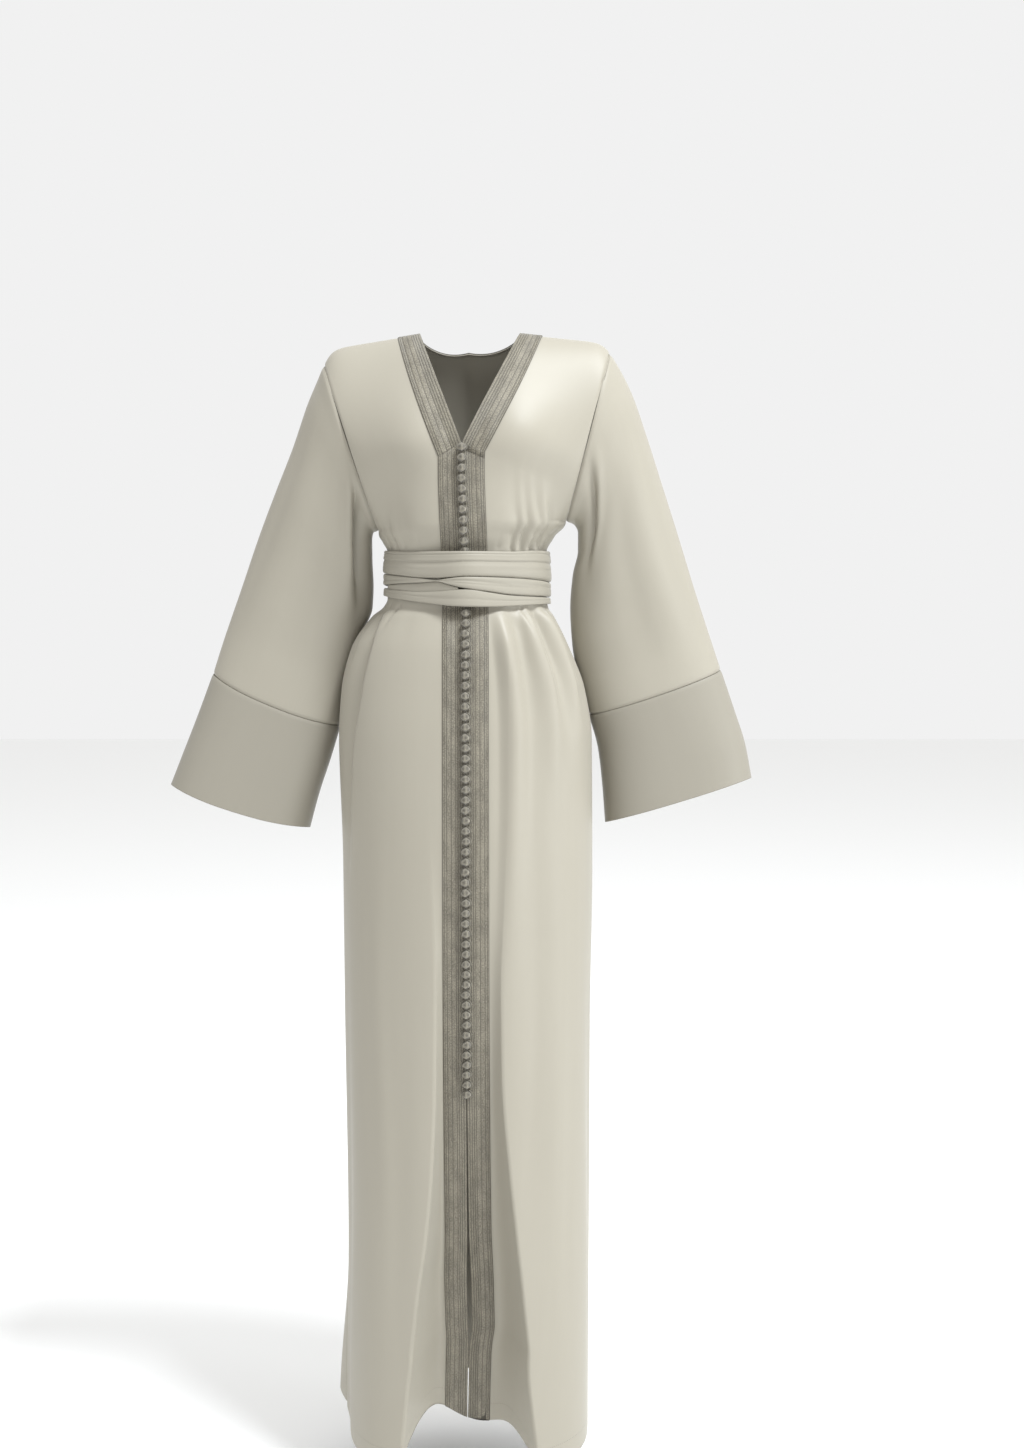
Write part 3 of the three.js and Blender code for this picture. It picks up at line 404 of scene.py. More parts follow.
# Front columns run from the edge under the braid, then to the crest of the centre fold, then in
# equal angles to the side seam.
def frontGrid(name, columns, levels):
    column, level = np.meshgrid(columns, levels)
    inner, outer = quarterEnds(name, True, level)
    width = np.abs(outer[0] - inner[0])
    crest = through(centreFold, "z", name + "Crest", inner[2])
    edge, top, last = frontColumns.values()
    under = braidWidth * column / edge
    between = mix(braidWidth, crest, (column - edge) / (top - edge))
    beyond = shareOf(mix(angleOf(crest / width), sideTurn, clamp((column - top) / (last - top))))
    share = np.where(column <= edge, under / width, np.where(column <= top, between / width, beyond))
    return bodyPoint(name, True, share, level)


# How far a shoulder's tip is from the back's middle, and which share of that the neck point is.
def tipReach(name):
    return sides[name]["tipX"] - sides[name]["side"] * body["neckMiddleX"]


def neckShare(name):
    return (sides[name]["neckX"] - sides[name]["side"] * body["neckMiddleX"]) / tipReach(name)


# Back columns run from the middle to the neck point, then in equal angles to the side seam.
def backGrid(name, columns, levels):
    column, level = np.meshgrid(np.abs(columns), levels)
    edge, last = backColumns.values()
    neck = angleOf(neckShare(name))
    angle = np.where(column <= edge, neck * column / edge,
                     mix(neck, sideTurn, (column - edge) / (last - edge)))
    share = shareOf(angle)
    inNeck = clamp(share / neckShare(name))
    reach = 1 - body["backNeckDrop"] / quarterTurn * np.sqrt(1 - inNeck**2)
    return bodyPoint(name, False, share, np.where(level > 0, level * reach, level))


vLevel = float(levelOf(body["vBottomZ"]))
skirtZ = steps(body["hemZ"], (-1466, 8), (-1150, 46), (-640, 66), (-470, 34), (-357, 42), (-291, 8),
               (-255, 16))
yokeLevels = steps(0, (vLevel, 26), (0.97, 34), (0.995, 4), (0.999, 2))[1:]
bodyLevels = np.concatenate([skirtZ - body["underarmZ"], yokeLevels])


# The sleeves' level rings: places of the outer and inner line, how far back the middle lies, half
# the depth, the power of the superellipse, and how far its middle sags.
ringNames = "ring outX outZ inX inZ back half power drop"
sleeveRings = {
    "right": table(
        ringNames,
        (0, 191, -42, 118, -264, 0, 58, 2, 0),
        (1, 199, -60, 125, -265, 4, 58, 2, 0),
        (2, 213, -91, 128, -277, 9, 57, 2.1, 0),
        (3, 235, -151, 128, -303, 17, 55, 2.2, 0),
        (4, 259, -208, 127, -335, 25, 53, 2.2, 0),
        (5, 284, -270, 129, -368, 33, 51, 2.2, 0),
        (6, 310, -342, 144, -404, 40, 49, 2.3, 2),
        (7, 334, -408, 164, -464, 44, 48, 2.3, 5),
        (8, 351, -460, 176, -532, 44, 48, 2.4, 8),
    ),
    "left": table(
        ringNames,
        (0, 195, -26, 136, -251, 0, 58, 2, 0),
        (1, 208, -46, 146, -254, 4, 58, 2, 0),
        (2, 225, -79, 153, -267, 9, 57, 2.1, 0),
        (3, 245, -133, 153, -291, 17, 55, 2.2, 0),
        (4, 266, -195, 146, -325, 25, 53, 2.2, 0),
        (5, 291, -270, 143, -368, 33, 51, 2.2, 0),
        (6, 315, -345, 146, -417, 40, 49, 2.3, 2),
        (7, 337, -410, 156, -470, 44, 48, 2.3, 3),
        (8, 352, -455, 170, -517, 44, 48, 2.4, 3),
    ),
}
cuffRings = {
    "right": table(
        ringNames,
        (8, 351, -460, 176, -532, 44, 48, 2.4, 8),
        (9, 371, -514, 190, -578, 42, 50, 2.4, 10),
        (10, 392, -568, 206, -626, 40, 52, 2.5, 10),
        (11, 410, -614, 219, -674, 38, 54, 2.5, 10),
    ),
    "left": table(
        ringNames,
        (8, 352, -455, 170, -517, 44, 48, 2.4, 3),
        (9, 370, -508, 183, -564, 42, 50, 2.4, 3),
        (10, 386, -558, 189, -615, 40, 52, 2.5, 3),
        (11, 395, -605, 193, -667, 38, 54, 2.5, 3),
    ),
}
sleeve = {"cuffRing": 8, "lastRing": 11, "hemTilt": 12, "gap": 0.7, "rise": 1 / 3, "fall": 1 / 2.2}
# Folds along a sleeve: the rings they run between, turn round the ring in degrees from the outer
# line over the front, half widths on its two sides and height, and how far they sway.
foldNames = "start end first last near far height sway"
sleeveFolds = {
    "right": table(
        foldNames,
        (0.4, 6.4, 128, 150, 12, 24, -12, 0),
        (2, 8, 62, 70, 24, 24, 4, 0),
        (1, 8, 238, 228, 26, 26, -7, 0),
        (0.3, 6.0, 106, 128, 9, 9, 4, 1.5),
        (0.2, 5.6, 122, 143, 8, 8, -4, 1.5),
        (1.5, 7.5, 40, 34, 10, 10, -1.6, 3),
        (3.5, 8, 88, 94, 10, 10, -1.8, 2),
        (0.6, 4.5, 212, 200, 9, 9, -4, 2),
        (1.5, 8, 262, 268, 12, 12, 3, 3),
        (0.3, 7, 310, 300, 12, 12, -3, 3),
    ),
    "left": table(
        foldNames,
        (0.4, 6.4, 120, 140, 24, 24, -7, 0),
        (2, 8, 60, 70, 24, 24, 4, 0),
        (1, 8, 236, 226, 26, 26, -7, 0),
        (0.3, 5.0, 96, 128, 8, 8, 3.5, 1.5),
        (0.2, 4.6, 110, 142, 8, 8, -4.5, 1.5),
        (1.5, 7.5, 42, 50, 10, 10, -1.6, 3),
        (3, 8, 84, 92, 10, 10, -1.8, 2),
        (0.6, 4.5, 214, 202, 9, 9, -4, 2),
        (1.5, 8, 258, 264, 12, 12, 3, 3),
        (0.3, 7, 306, 298, 12, 12, -3, 3),
    ),
}


# A point on a sleeve: a ring is a superellipse between the outer line and the inner line, slanted
# as the sleeve hangs; its middle sags, its hem tilts, and folds stand off it.
def sleeveGrid(name, rings, turns, ringNumbers):
    turn, ring = np.meshgrid(turns, ringNumbers)
    value = {column: through(rings[name], "ring", column, ring) for column in ringNames.split()[1:]}
    power = 2 / value["power"]
    along = signedPower(np.cos(turn), power)
    forward = signedPower(np.sin(turn), power)
    up = (1 + along) / 2
    x = mix(value["inX"], value["outX"], up)
    z = mix(value["inZ"], value["outZ"], up)
    axis = np.stack([value["outZ"] - value["inZ"], value["inX"] - value["outX"]])
    axis = axis / np.linalg.norm(axis, axis=0)
    low = ease((ring - sleeve["cuffRing"]) / (sleeve["lastRing"] - sleeve["cuffRing"]))
    drop = value["drop"] * np.sin(turn) ** 2 - forward * sleeve["hemTilt"] / 2 * low
    degrees = np.mod(np.degrees(turn), 360)
    lift = np.zeros(turn.shape)
    for number, fold in enumerate(rowsOf(sleeveFolds[name])):
        way = (ring - fold["start"]) / (fold["end"] - fold["start"])
        fade = ease(way / sleeve["rise"]) * ease((1 - way) / sleeve["fall"])
        sway = fold["sway"] * np.sin(way * swayPace["sleeve"] + number)
        off = degrees - (mix(fold["first"], fold["last"], way) + sway)
        lift += fold["height"] * fade * lobe(off, fold["near"], fold["far"])
    x = x + axis[0] * drop + lift * np.cos(turn)
    z = z + axis[1] * drop
    y = value["back"] - value["half"] * forward - lift * np.sin(turn)
    return np.stack([sides[name]["side"] * (x + sleeve["gap"]), y, z], -1)


# Distances across and along a grid of points, in metres, for the UV map and the seams.
def lengths(points, closed):
    ring = np.concatenate([points, points[:, :1]], 1) if closed[0] else points
    ring = np.concatenate([ring, ring[:1]], 0) if closed[1] else ring
    across = np.linalg.norm(np.diff(ring, axis=1), axis=2).cumsum(1)
    along = np.linalg.norm(np.diff(ring, axis=0), axis=2).cumsum(0)
    return np.pad(across, ((0, 0), (1, 0))) * mm, np.pad(along, ((1, 0), (0, 0))) * mm


# Unit normals of a grid, from the cross product of its two directions, facing away from the
# body's axis or, round a tube, from the middle of each ring.
def normalsOf(points, tube=False):
    if tube:
        wide = np.concatenate([points[:, -1:], points, points[:, :1]], 1)
        alongU = (wide[:, 2:] - wide[:, :-2]) / 2
        middle = points.mean(1, keepdims=True)
    else:
        alongU = np.gradient(points, axis=1)
        middle = points * (0, 0, 1)
    normal = np.cross(alongU, np.gradient(points, axis=0))
    normal /= np.maximum(np.linalg.norm(normal, axis=2, keepdims=True), 1e-9)
    return normal * np.sign(np.sum(normal * (points - middle)))


def flatArea(points, tube=False):  # the cloth's area in square metres
    ring = np.concatenate([points, points[:, :1]], 1) if tube else points
    a, b, c, d = ring[:-1, :-1], ring[:-1, 1:], ring[1:, 1:], ring[1:, :-1]
    halves = np.linalg.norm(np.cross(b - a, c - a), axis=2) + np.linalg.norm(np.cross(c - a, d - a), axis=2)
    return float(halves.sum() / 2) * mm**2


# Puts grids of points into one mesh, (count,) rows by columns. Faces join neighbours, closed
# says whether columns and rows wrap, and the ends of a tube can be capped.
def addPiece(name, points, finish, closed=(False, False), caps=False, uv=None, thick=0,
             stands=()):
    points = points if points.ndim == 4 else points[None]
    count, rows, columns = points.shape[:3]
    row = np.arange(rows if closed[1] else rows - 1)[:, None]
    column = np.arange(columns if closed[0] else columns - 1)[None, :]
    ring = [(row + a, column + b) for a, b in ((0, 0), (0, 1), (1, 1), (1, 0))]
    quads = np.stack([(a % rows) * columns + b % columns for a, b in ring], -1).reshape(-1, 4)
    across, along = uv or lengths(points[0], closed)
    places = np.stack([np.stack([across[a, b], along[a, b]], -1) for a, b in ring], -2).reshape(-1, 4, 2)
    first = points[0].reshape(-1, 3)
    middle = points[0].mean(1, keepdims=True) if closed[0] else points[0] * (0, 0, 1)
    away = (points[0] - middle).reshape(-1, 3)[quads].mean(1)
    a, b, c, d = (first[quads[:, k]] for k in range(4))
    if np.sum(np.cross(c - a, d - b) * away) < 0:
        quads, places = quads[:, ::-1], places[:, ::-1]
        lids = [np.arange(columns), (rows - 1) * columns + np.arange(columns)[::-1]]
    else:
        lids = [np.arange(columns)[::-1], (rows - 1) * columns + np.arange(columns)]
    faces, corners = [], []
    for number in range(count):
        shift = number * rows * columns
        faces += (quads + shift).tolist()
        corners.append(places.reshape(-1, 2))
        if caps:
            faces += [(lid + shift).tolist() for lid in lids]
            corners.append(np.zeros((2 * columns, 2)))
    mesh = bpy.data.meshes.new(name)
    mesh.from_pydata((points.reshape(-1, 3) * mm).tolist(), [], faces)
    mesh.uv_layers.new(name="UVMap").data.foreach_set("uv", np.concatenate(corners).ravel())
    mesh.polygons.foreach_set("use_smooth", np.ones(len(mesh.polygons), bool))
    mesh.update()
    piece = bpy.data.objects.new(name, mesh)
    bpy.context.scene.collection.objects.link(piece)
    mesh.materials.append(finish)
    if thick:
        wall = piece.modifiers.new("wall", "SOLIDIFY")
        wall.thickness, wall.offset = thick * mm, 0
    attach(piece, "root")
    if stands:
        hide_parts(*stands)
    return piece


# The cloth sinks towards the inside next to a seam: a bell of the distance from the edge.
def sink(points, distance, tube=False, share=1.0):
    dip = share * body["seamDip"] * bell(distance / body["seamHalf"])
    return points - normalsOf(points, tube) * dip[..., None]


# Works out a sheet's lengths across and along and its area, and passes none of them on.
def declare(points, tube=False):
    across, along = lengths(points, (tube, False))
    area = flatArea(points, tube)


# One output of a node. Arithmetic on it adds Math nodes to the same material.
class Shade:
    def __init__(self, tree, socket=None):
        self.tree, self.socket = tree, socket

    def make(self, kind, settings=None, inputs=None, out=0):
        node = self.tree.nodes.new(kind)
        for key, value in (settings or {}).items():
            setattr(node, key, value)
        for key, value in (inputs or {}).items():
            if isinstance(value, Shade):
                self.tree.links.new(value.socket, node.inputs[key])
            else:
                node.inputs[key].default_value = value
        return Shade(self.tree, node.outputs[out])

    def math(self, operation, *others, limit=False):
        values = dict(enumerate((self, *others)))
        return self.make("ShaderNodeMath", {"operation": operation, "use_clamp": limit}, values)

    def __add__(self, other):
        return self.math("ADD", other)

    def __sub__(self, other):
        return self.math("SUBTRACT", other)

    def __rsub__(self, other):
        return self.make("ShaderNodeMath", {"operation": "SUBTRACT"}, {0: other, 1: self})

    def __mul__(self, other):
        return self.math("MULTIPLY", other)

    def __truediv__(self, other):
        return self.math("DIVIDE", other)

    __radd__, __rmul__ = __add__, __mul__

    def sine(self):
        return self.math("SINE")

    def wave(self, pitch):  # the sine of a distance that repeats at this pitch
        return (self * (2 * pi / pitch)).sine()

    def limited(self):
        return self.math("MULTIPLY", 1, limit=True)

    def peak(self, place, half):  # 1 at a place, falling to 0 half a width away
        return (1 - ((self - place) / half).math("ABSOLUTE")).math("MAXIMUM", 0)

    def between(self, one, two):  # a colour between two, by this share
        settings = {"data_type": "RGBA", "clamp_factor": True}
        return self.make("ShaderNodeMix", settings, {0: self, 6: one, 7: two}, out=2)


def rgb(colour, tone=1.0):
    return (*(tone * part for part in colour), 1)


# Starts a material: its shader with the fixed values, and the UV map's two distances in metres.
def startFinish(name, fixed):
    material = bpy.data.materials.new(name)
    material.use_nodes = True
    tree = material.node_tree
    shader = tree.nodes["Principled BSDF"]
    for socket, value in fixed.items():
        shader.inputs[socket].default_value = value
    start = Shade(tree)
    place = start.make("ShaderNodeUVMap", {"uv_map": "UVMap"})
    parts = start.make("ShaderNodeSeparateXYZ", inputs={0: place})
    along = Shade(tree, parts.socket.node.outputs[1])
    return material, shader, start, place, parts, along


# Cloudy unevenness around 0.5, drawn out by a stretch.
def noise(start, place, scale, stretch=(1, 1, 1), detail=2):
    spread = start.make("ShaderNodeMapping", inputs={"Vector": place, "Scale": stretch})
    return start.make("ShaderNodeTexNoise", inputs={"Vector": spread, "Scale": scale, "Detail": detail})


# Joins colour, roughness and a bump of this height in metres to the shader.
def joinUp(start, shader, colour, rough, height):
    bump = start.make("ShaderNodeBump", inputs={"Height": height, "Strength": 1.0, "Distance": 1.0})
    for socket, value in {"Base Color": colour, "Roughness": rough, "Normal": bump}.items():
        start.tree.links.new(value.socket, shader.inputs[socket])


# Satin-backed crepe: a fine weave, faint streaks along the warp, a soft sheen, and stitches
# beside the hem where the pattern asks for them.
crepe = {
    "light": (0.335, 0.311, 0.256), "dark": (0.311, 0.287, 0.234),
    "roughness": 0.5, "gloss": 0.36, "sheen": 0.08, "sheenRoughness": 0.4,
    "broad": 7, "streak": 90, "fine": 1400, "slub": 22,  # scales of the unevenness
    "weavePitch": 0.0007, "weaveDepth": 0.000003, "slubDepth": 0.0002, "streakDepth": 0.00002,
    "stitchPitch": 0.0032, "stitchHalf": 0.0009, "stitchDepth": 0.0004, "stitchTone": 0.55,
}


def crepeFinish(name, tone=1.0, hemStitch=None):
    fixed = {"Sheen Weight": crepe["sheen"], "Sheen Roughness": crepe["sheenRoughness"],
             "Specular IOR Level": crepe["gloss"]}
    material, shader, start, place, across, along = startFinish(name, fixed)
    local = start.make("ShaderNodeTexCoord", out="Object")
    broad = noise(start, local, crepe["broad"], detail=3)
    streak = noise(start, place, crepe["streak"], stretch=(1, 0.06, 1), detail=3)
    fine = noise(start, place, crepe["fine"], detail=1)
    shade = (broad - 0.5) * 0.5 + (streak - 0.5) * 0.35 + (fine - 0.5) * 0.5 + 0.5
    weave = across.wave(crepe["weavePitch"]) * along.wave(crepe["weavePitch"])
    height = weave * crepe["weaveDepth"] + streak * crepe["streakDepth"]
    slub = noise(start, local, crepe["slub"], stretch=(1, 1, 0.35)) * crepe["slubDepth"]
    colour = shade.limited().between(rgb(crepe["dark"], tone), rgb(crepe["light"], tone))
    if hemStitch:
        stitches = (across.wave(crepe["stitchPitch"]) + 0.35).limited()
        line = along.peak(hemStitch, crepe["stitchHalf"]) * stitches
        height = height - line * crepe["stitchDepth"]
        colour = (line * 0.5).limited().between(colour, rgb(crepe["dark"], crepe["stitchTone"]))
    rough = crepe["roughness"] + (broad - 0.5) * 0.12 + (fine - 0.5) * 0.08
    joinUp(start, shader, colour, rough, height + slub)
    return material


# Corded braid: rows of twisted cord on a woven band, with painted shade darkening the grooves between the
# rows.
braid = {
    # dark is the painted shade in the grooves between the rows of cord
    "dark": (0.060, 0.052, 0.036), "middle": (0.102, 0.089, 0.064), "light": (0.300, 0.271, 0.205),
    "cordPitch": 0.0019, "cordLean": 0.0016,  # twist of the cords along and across the braid
    "knotPitch": 0.0026, "knotLean": 0.0024, "knotMiddle": 0.0184, "knotHalf": 0.0062,
    "grooveSlope": 2600, "speck": 620, "patch": 70, "depth": 0.0005,
    # rows across the braid, from its inner edge: middle, half width and height in mm
    "rows": table("middle half height", (1.6, 1.5, 0.4), (4.9, 1.4, 0.35), (8.0, 1.3, 0.35),
                  (11.0, 1.3, 0.35), (15.4, 2.8, 0.3), (21.4, 2.8, 0.3), (26.0, 1.4, 0.35),
                  (28.6, 1.0, 0.5)),
    "base": 0.9,
}


def braidFinish():
    fixed = {"Sheen Weight": 0.15, "Sheen Roughness": 0.4, "Specular IOR Level": 0.6}
    material, shader, start, place, across, along = startFinish("braidThread", fixed)
    cords = across * 0
    for cord in rowsOf(braid["rows"]):  # 1 on a row of cord and 0 in the groove beside it
        row = ((across - cord["middle"] * mm).math("ABSOLUTE") - cord["half"] * mm) * -braid["grooveSlope"]
        cords = cords.math("MAXIMUM", row.limited())
    twist = (along / braid["cordPitch"] + across / braid["cordLean"]).wave(1) * 0.5 + 0.5
    rising, falling = along / braid["knotPitch"], across / braid["knotLean"]
    knots = (rising - falling).wave(1) * (rising + falling).wave(1) * 0.5 + 0.5
    band = across.peak(braid["knotMiddle"], braid["knotHalf"]).math("GREATER_THAN", 0.01)
    thread = twist * (1 - band) + knots * band
    speck = noise(start, place, braid["speck"])
    patch = noise(start, place, braid["patch"], stretch=(1, 0.5, 1), detail=3)
    shade = (thread * 0.32 + (speck - 0.5) * 2.2 + (patch - 0.5) * 1.1 + 0.2).limited()
    # painted shade: the grooves between the rows of cord take the dark colour
    colour = cords.between(rgb(braid["dark"]), shade.between(rgb(braid["middle"]), rgb(braid["light"])))
    joinUp(start, shader, colour, 0.5 + (speck - 0.5) * 0.3, (thread * 0.6 + speck * 0.5) * braid["depth"])
    return material


# Knotted cord: thread wound over itself, with painted shade darkening the hollows.
knot = {"dark": (0.038, 0.032, 0.023), "light": (0.270, 0.246, 0.192), "threadPitch": 0.0012,
        "threadDepth": 0.00016, "speck": 900, "speckDepth": 0.0002}


def knotFinish():
    fixed = {"Sheen Weight": 0.25, "Sheen Roughness": 0.45, "Specular IOR Level": 0.45}
    material, shader, start, _, across, along = startFinish("knottedCord", fixed)
    local = start.make("ShaderNodeTexCoord", out="Object")
    # painted shade: points that stand out little, down in the hollows, get the dark colour
    raised = start.make("ShaderNodeAttribute", {"attribute_name": "raised"}, out="Fac")
    thread = (across + along * 0.7).wave(knot["threadPitch"]) * 0.5 + 0.5
    speck = noise(start, local, knot["speck"])
    shade = (raised * 0.85 + thread * 0.2 + (speck - 0.5) * 0.6).limited()
    colour = shade.between(rgb(knot["dark"]), rgb(knot["light"]))
    height = thread * knot["threadDepth"] + speck * knot["speckDepth"]
    joinUp(start, shader, colour, 0.5 + (speck - 0.5) * 0.2, height)
    return material


finishes = {
    "cloth": crepeFinish("crepe", hemStitch=0.024),
    "sleeve": crepeFinish("crepeSleeve"),
    "cuff": crepeFinish("crepeCuff", tone=0.8),
    "sash": crepeFinish("crepeSash", tone=0.9),
    "braid": braidFinish(),
    "knot": knotFinish(),
}
print("finishes made")


# Fronts: a grid from front edge to side seam and from hem to shoulder seam, sunk a little along
# the side seam, the armhole and the shoulder.
frontPlaces = steps(0, (3, 12), (6, 18), (14.4, 46), (14.85, 4), (15, 3))
for name in ("right", "left"):
    points = frontGrid(name, frontPlaces, bodyLevels)
    across, along = lengths(points, (False, False))
    points = sink(points, np.minimum(across[:, -1:] - across, along[-1] - along) / mm)
    panel = addPiece(f"cloth_front_{name}", points, finishes["cloth"], thick=body["cloth"],
                     stands=[f"front_{name}"])
    declare(points)

backPlaces = steps(0, (3, 12), (12.5, 48), (12.9, 4), (13, 3))
rightHalf = backGrid("right", backPlaces, bodyLevels)
leftHalf = backGrid("left", backPlaces, bodyLevels)
points = np.concatenate([rightHalf[:, :0:-1], leftHalf], 1)
across, along = lengths(points, (False, False))
points = sink(points, np.minimum(np.minimum(across, across[:, -1:] - across), along[-1] - along) / mm)
panel = addPiece("cloth_back", points, finishes["cloth"], thick=body["cloth"], stands=["back"])
declare(points)
print("fronts and back made")


sleeveTurns = np.linspace(0, 2 * pi, 128, endpoint=False)
sleeveNumbers = steps(0, (0.12, 4), (7.9, 120), (7.997, 5))
cuffNumbers = steps(8.003, (8.1, 5), (10.9, 40), (11, 4))
for name in ("right", "left"):
    points = sleeveGrid(name, sleeveRings, sleeveTurns, sleeveNumbers)
    along = lengths(points, (True, False))[1][:, :-1]
    points = sink(points, np.minimum(along, along[-1] - along) / mm, tube=True)
    tube = addPiece(f"cloth_sleeve_{name}", points, finishes["sleeve"], closed=(True, False),
                    thick=body["cloth"], stands=[f"sleeve_{name}"])
    declare(points, tube=True)

    points = sleeveGrid(name, cuffRings, sleeveTurns, cuffNumbers)
    along = lengths(points, (True, False))[1][:, :-1]
    points = sink(points, along / mm, tube=True, share=0.5)
    band = addPiece(f"cloth_cuff_{name}", points, finishes["cuff"], closed=(True, False),
                    thick=body["cloth"] * 1.7, stands=[f"cuff_{name}"])
    declare(points, tube=True)
print("sleeves and cuffs made")


# The braid's face across its width: a flat base with a round ridge for each row of cord.
def braidFace(across):
    height = np.full(across.shape, braid["base"])
    for cord in rowsOf(braid["rows"]):
        bow = np.sqrt(np.maximum(1 - ((across - cord["middle"]) / cord["half"]) ** 2, 0))
        height = np.maximum(height, braid["base"] + cord["height"] * bow)
    return height


braidAcross = np.linspace(0, braidWidth, 73)
braidSeat = 0.6  # clear of the middle of the cloth


# A strip of braid on a surface: its face stands off the surface by the face's height, and two
# more columns close its underside.
def addBraid(name, surface, stands, raised=0.0):
    normal = normalsOf(surface)
    height = braidSeat + raised + braidFace(braidAcross)[None, :, None]
    top = surface + normal * height
    foot = surface + normal * braidSeat
    ring = np.concatenate([foot[:, :1], top, foot[:, -1:]], 1)
    across = np.concatenate([[0], braidAcross, [braidWidth, braidWidth]]) * mm
    along = lengths(ring, (True, False))[1]
    uv = (np.broadcast_to(across, along.shape), along)
    return addPiece(name, ring, finishes["braid"], closed=(True, False), caps=True, uv=uv,
                    stands=stands)


# Where the strips meet at the foot of the V: the neck braids start a little above it, or on the
# wearer's left, where the neck braid is raised and laps over the front braid, below it.
meeting = {"clear": 0.004, "next": 0.002, "butt": 0.001, "lap": -0.02}
lowLevels = bodyLevels[bodyLevels < vLevel - meeting["clear"]]
highLevels = bodyLevels[bodyLevels > vLevel + meeting["clear"]]
neckRaise = {"right": 0.0, "left": 0.5}
for name in ("right", "left"):
    columns = braidAcross / braidWidth * frontColumns["braid"]
    surface = frontGrid(name, columns, np.append(lowLevels, vLevel))
    addBraid(f"braid_front_{name}", surface, [f"front_braid_{name}"])
    starts = vLevel + meeting["lap" if neckRaise[name] else "butt"], vLevel + meeting["next"]
    surface = frontGrid(name, columns, np.concatenate([starts, highLevels]))
    addBraid(f"braid_neck_{name}", surface, [f"neck_braid_{name}"], raised=neckRaise[name])

# Round the back of the neck the inner line is the cut edge; the outer line lies one braid width
# further out on the shoulders and down the back.
backBraid = {"widen": 0.55, "endGap": 0.004, "raised": 0.3}
neckEnd = quarterTurn - backBraid["endGap"]
turns = np.linspace(-neckEnd, neckEnd, 97)
halves = []
for name, part in (("right", turns[turns < 0]), ("left", turns[turns >= 0])):
    across, turn = np.meshgrid(braidAcross / braidWidth, part)
    reach = neckShare(name) + across * braidWidth / tipReach(name)
    drop = body["backNeckDrop"] * (1 + across * backBraid["widen"])
    level = 1 - drop * np.cos(turn) / quarterTurn
    halves.append(bodyPoint(name, False, reach * np.abs(np.sin(turn)), level))
addBraid("braid_neck_back", np.concatenate(halves), ["neck_braid_back"], raised=backBraid["raised"])
print("braid made")


buttons = {
    "top": -159, "pitch": 13.5, "count": 64, "radius": 5.7, "rest": 0.6, "lift": 8.0,
    "bands": 0.36, "groove": 0.17, "wave": 0.14, "tilt": 0.62,  # how the wide bands are wound
    "spin": 0.5, "stray": 0.25,  # each ball is turned, and lies to one side, a little differently
    "cord": 1.5, "cordLift": 5.5, "cordEnd": 2, "underSash": (-299, -361),
    "loopWide": 6.6, "loopHigh": 5.2, "loopCord": 0.9, "loopLean": 1.0, "loopDepth": 4.8,
    # how light the loops and the cord are painted: 0 is the dark painted shade of the hollows, 1 the raised
    # bands
    "loopLitShare": 0.55, "cordLitShare": 0.2,
}
ballPlaces = np.meshgrid(np.linspace(0.12, pi - 0.12, 16), np.linspace(0, 2 * pi, 26, endpoint=False),
                         indexing="ij")


# The middle of the front at a height, moved out so that the balls lie on the braid.
def middleFront(z, lift):
    level = levelOf(z)
    edge = [frontGrid(name, [0, buttons["rest"]], level) for name in ("right", "left")]
    middle = (edge[0][:, 0] + edge[1][:, 0]) / 2
    deepest = np.minimum(edge[0][:, 1, 1], edge[1][:, 1, 1])
    return np.stack([middle[:, 0], np.minimum(middle[:, 1], deepest) - lift, z], -1)


# A knotted ball: a sphere with three wide bands wound round it at right angles, sunk between
# them; each ball is turned a little differently.
def ballGrid(count, turned):
    polar, around = ballPlaces
    out = np.stack([np.sin(polar) * np.cos(around), np.sin(polar) * np.sin(around), np.cos(polar)], -1)
    tilt, still = buttons["tilt"], 0 * turned
    axes = np.array([[1, 0, 0], [0, np.cos(tilt), np.sin(tilt)], [0, -np.sin(tilt), np.cos(tilt)]])
    spin = np.stack([np.cos(turned), -np.sin(turned), still, np.sin(turned), np.cos(turned),
                     still, still, still, still + 1], -1).reshape(count, 3, 3)
    facing = np.einsum("rci,nij,kj->nrck", out, spin, axes)
    swing = np.cos(4 * np.arctan2(np.roll(facing, 1, -1), np.roll(facing, 2, -1)))
    wound = bell(facing / buttons["bands"]) * (1 - buttons["wave"] + buttons["wave"] * swing)
    bands = wound.max(-1)
    radius = buttons["radius"] * (1 - buttons["groove"] * (1 - bands))
    return out[None] * radius[..., None], bands


# A piece of knotted cord, with how far each of its points stands out of the hollows, which its finish turns
# into painted shade.
def addKnotted(name, points, raised, caps=True, hoop=False, stands=()):
    piece = addPiece(name, points, finishes["knot"], closed=(True, hoop), caps=caps, stands=stands)
    values = np.broadcast_to(raised, points.shape[:-1]).astype(np.float32)
    piece.data.attributes.new("raised", "FLOAT", "POINT").data.foreach_set("value", values.ravel())


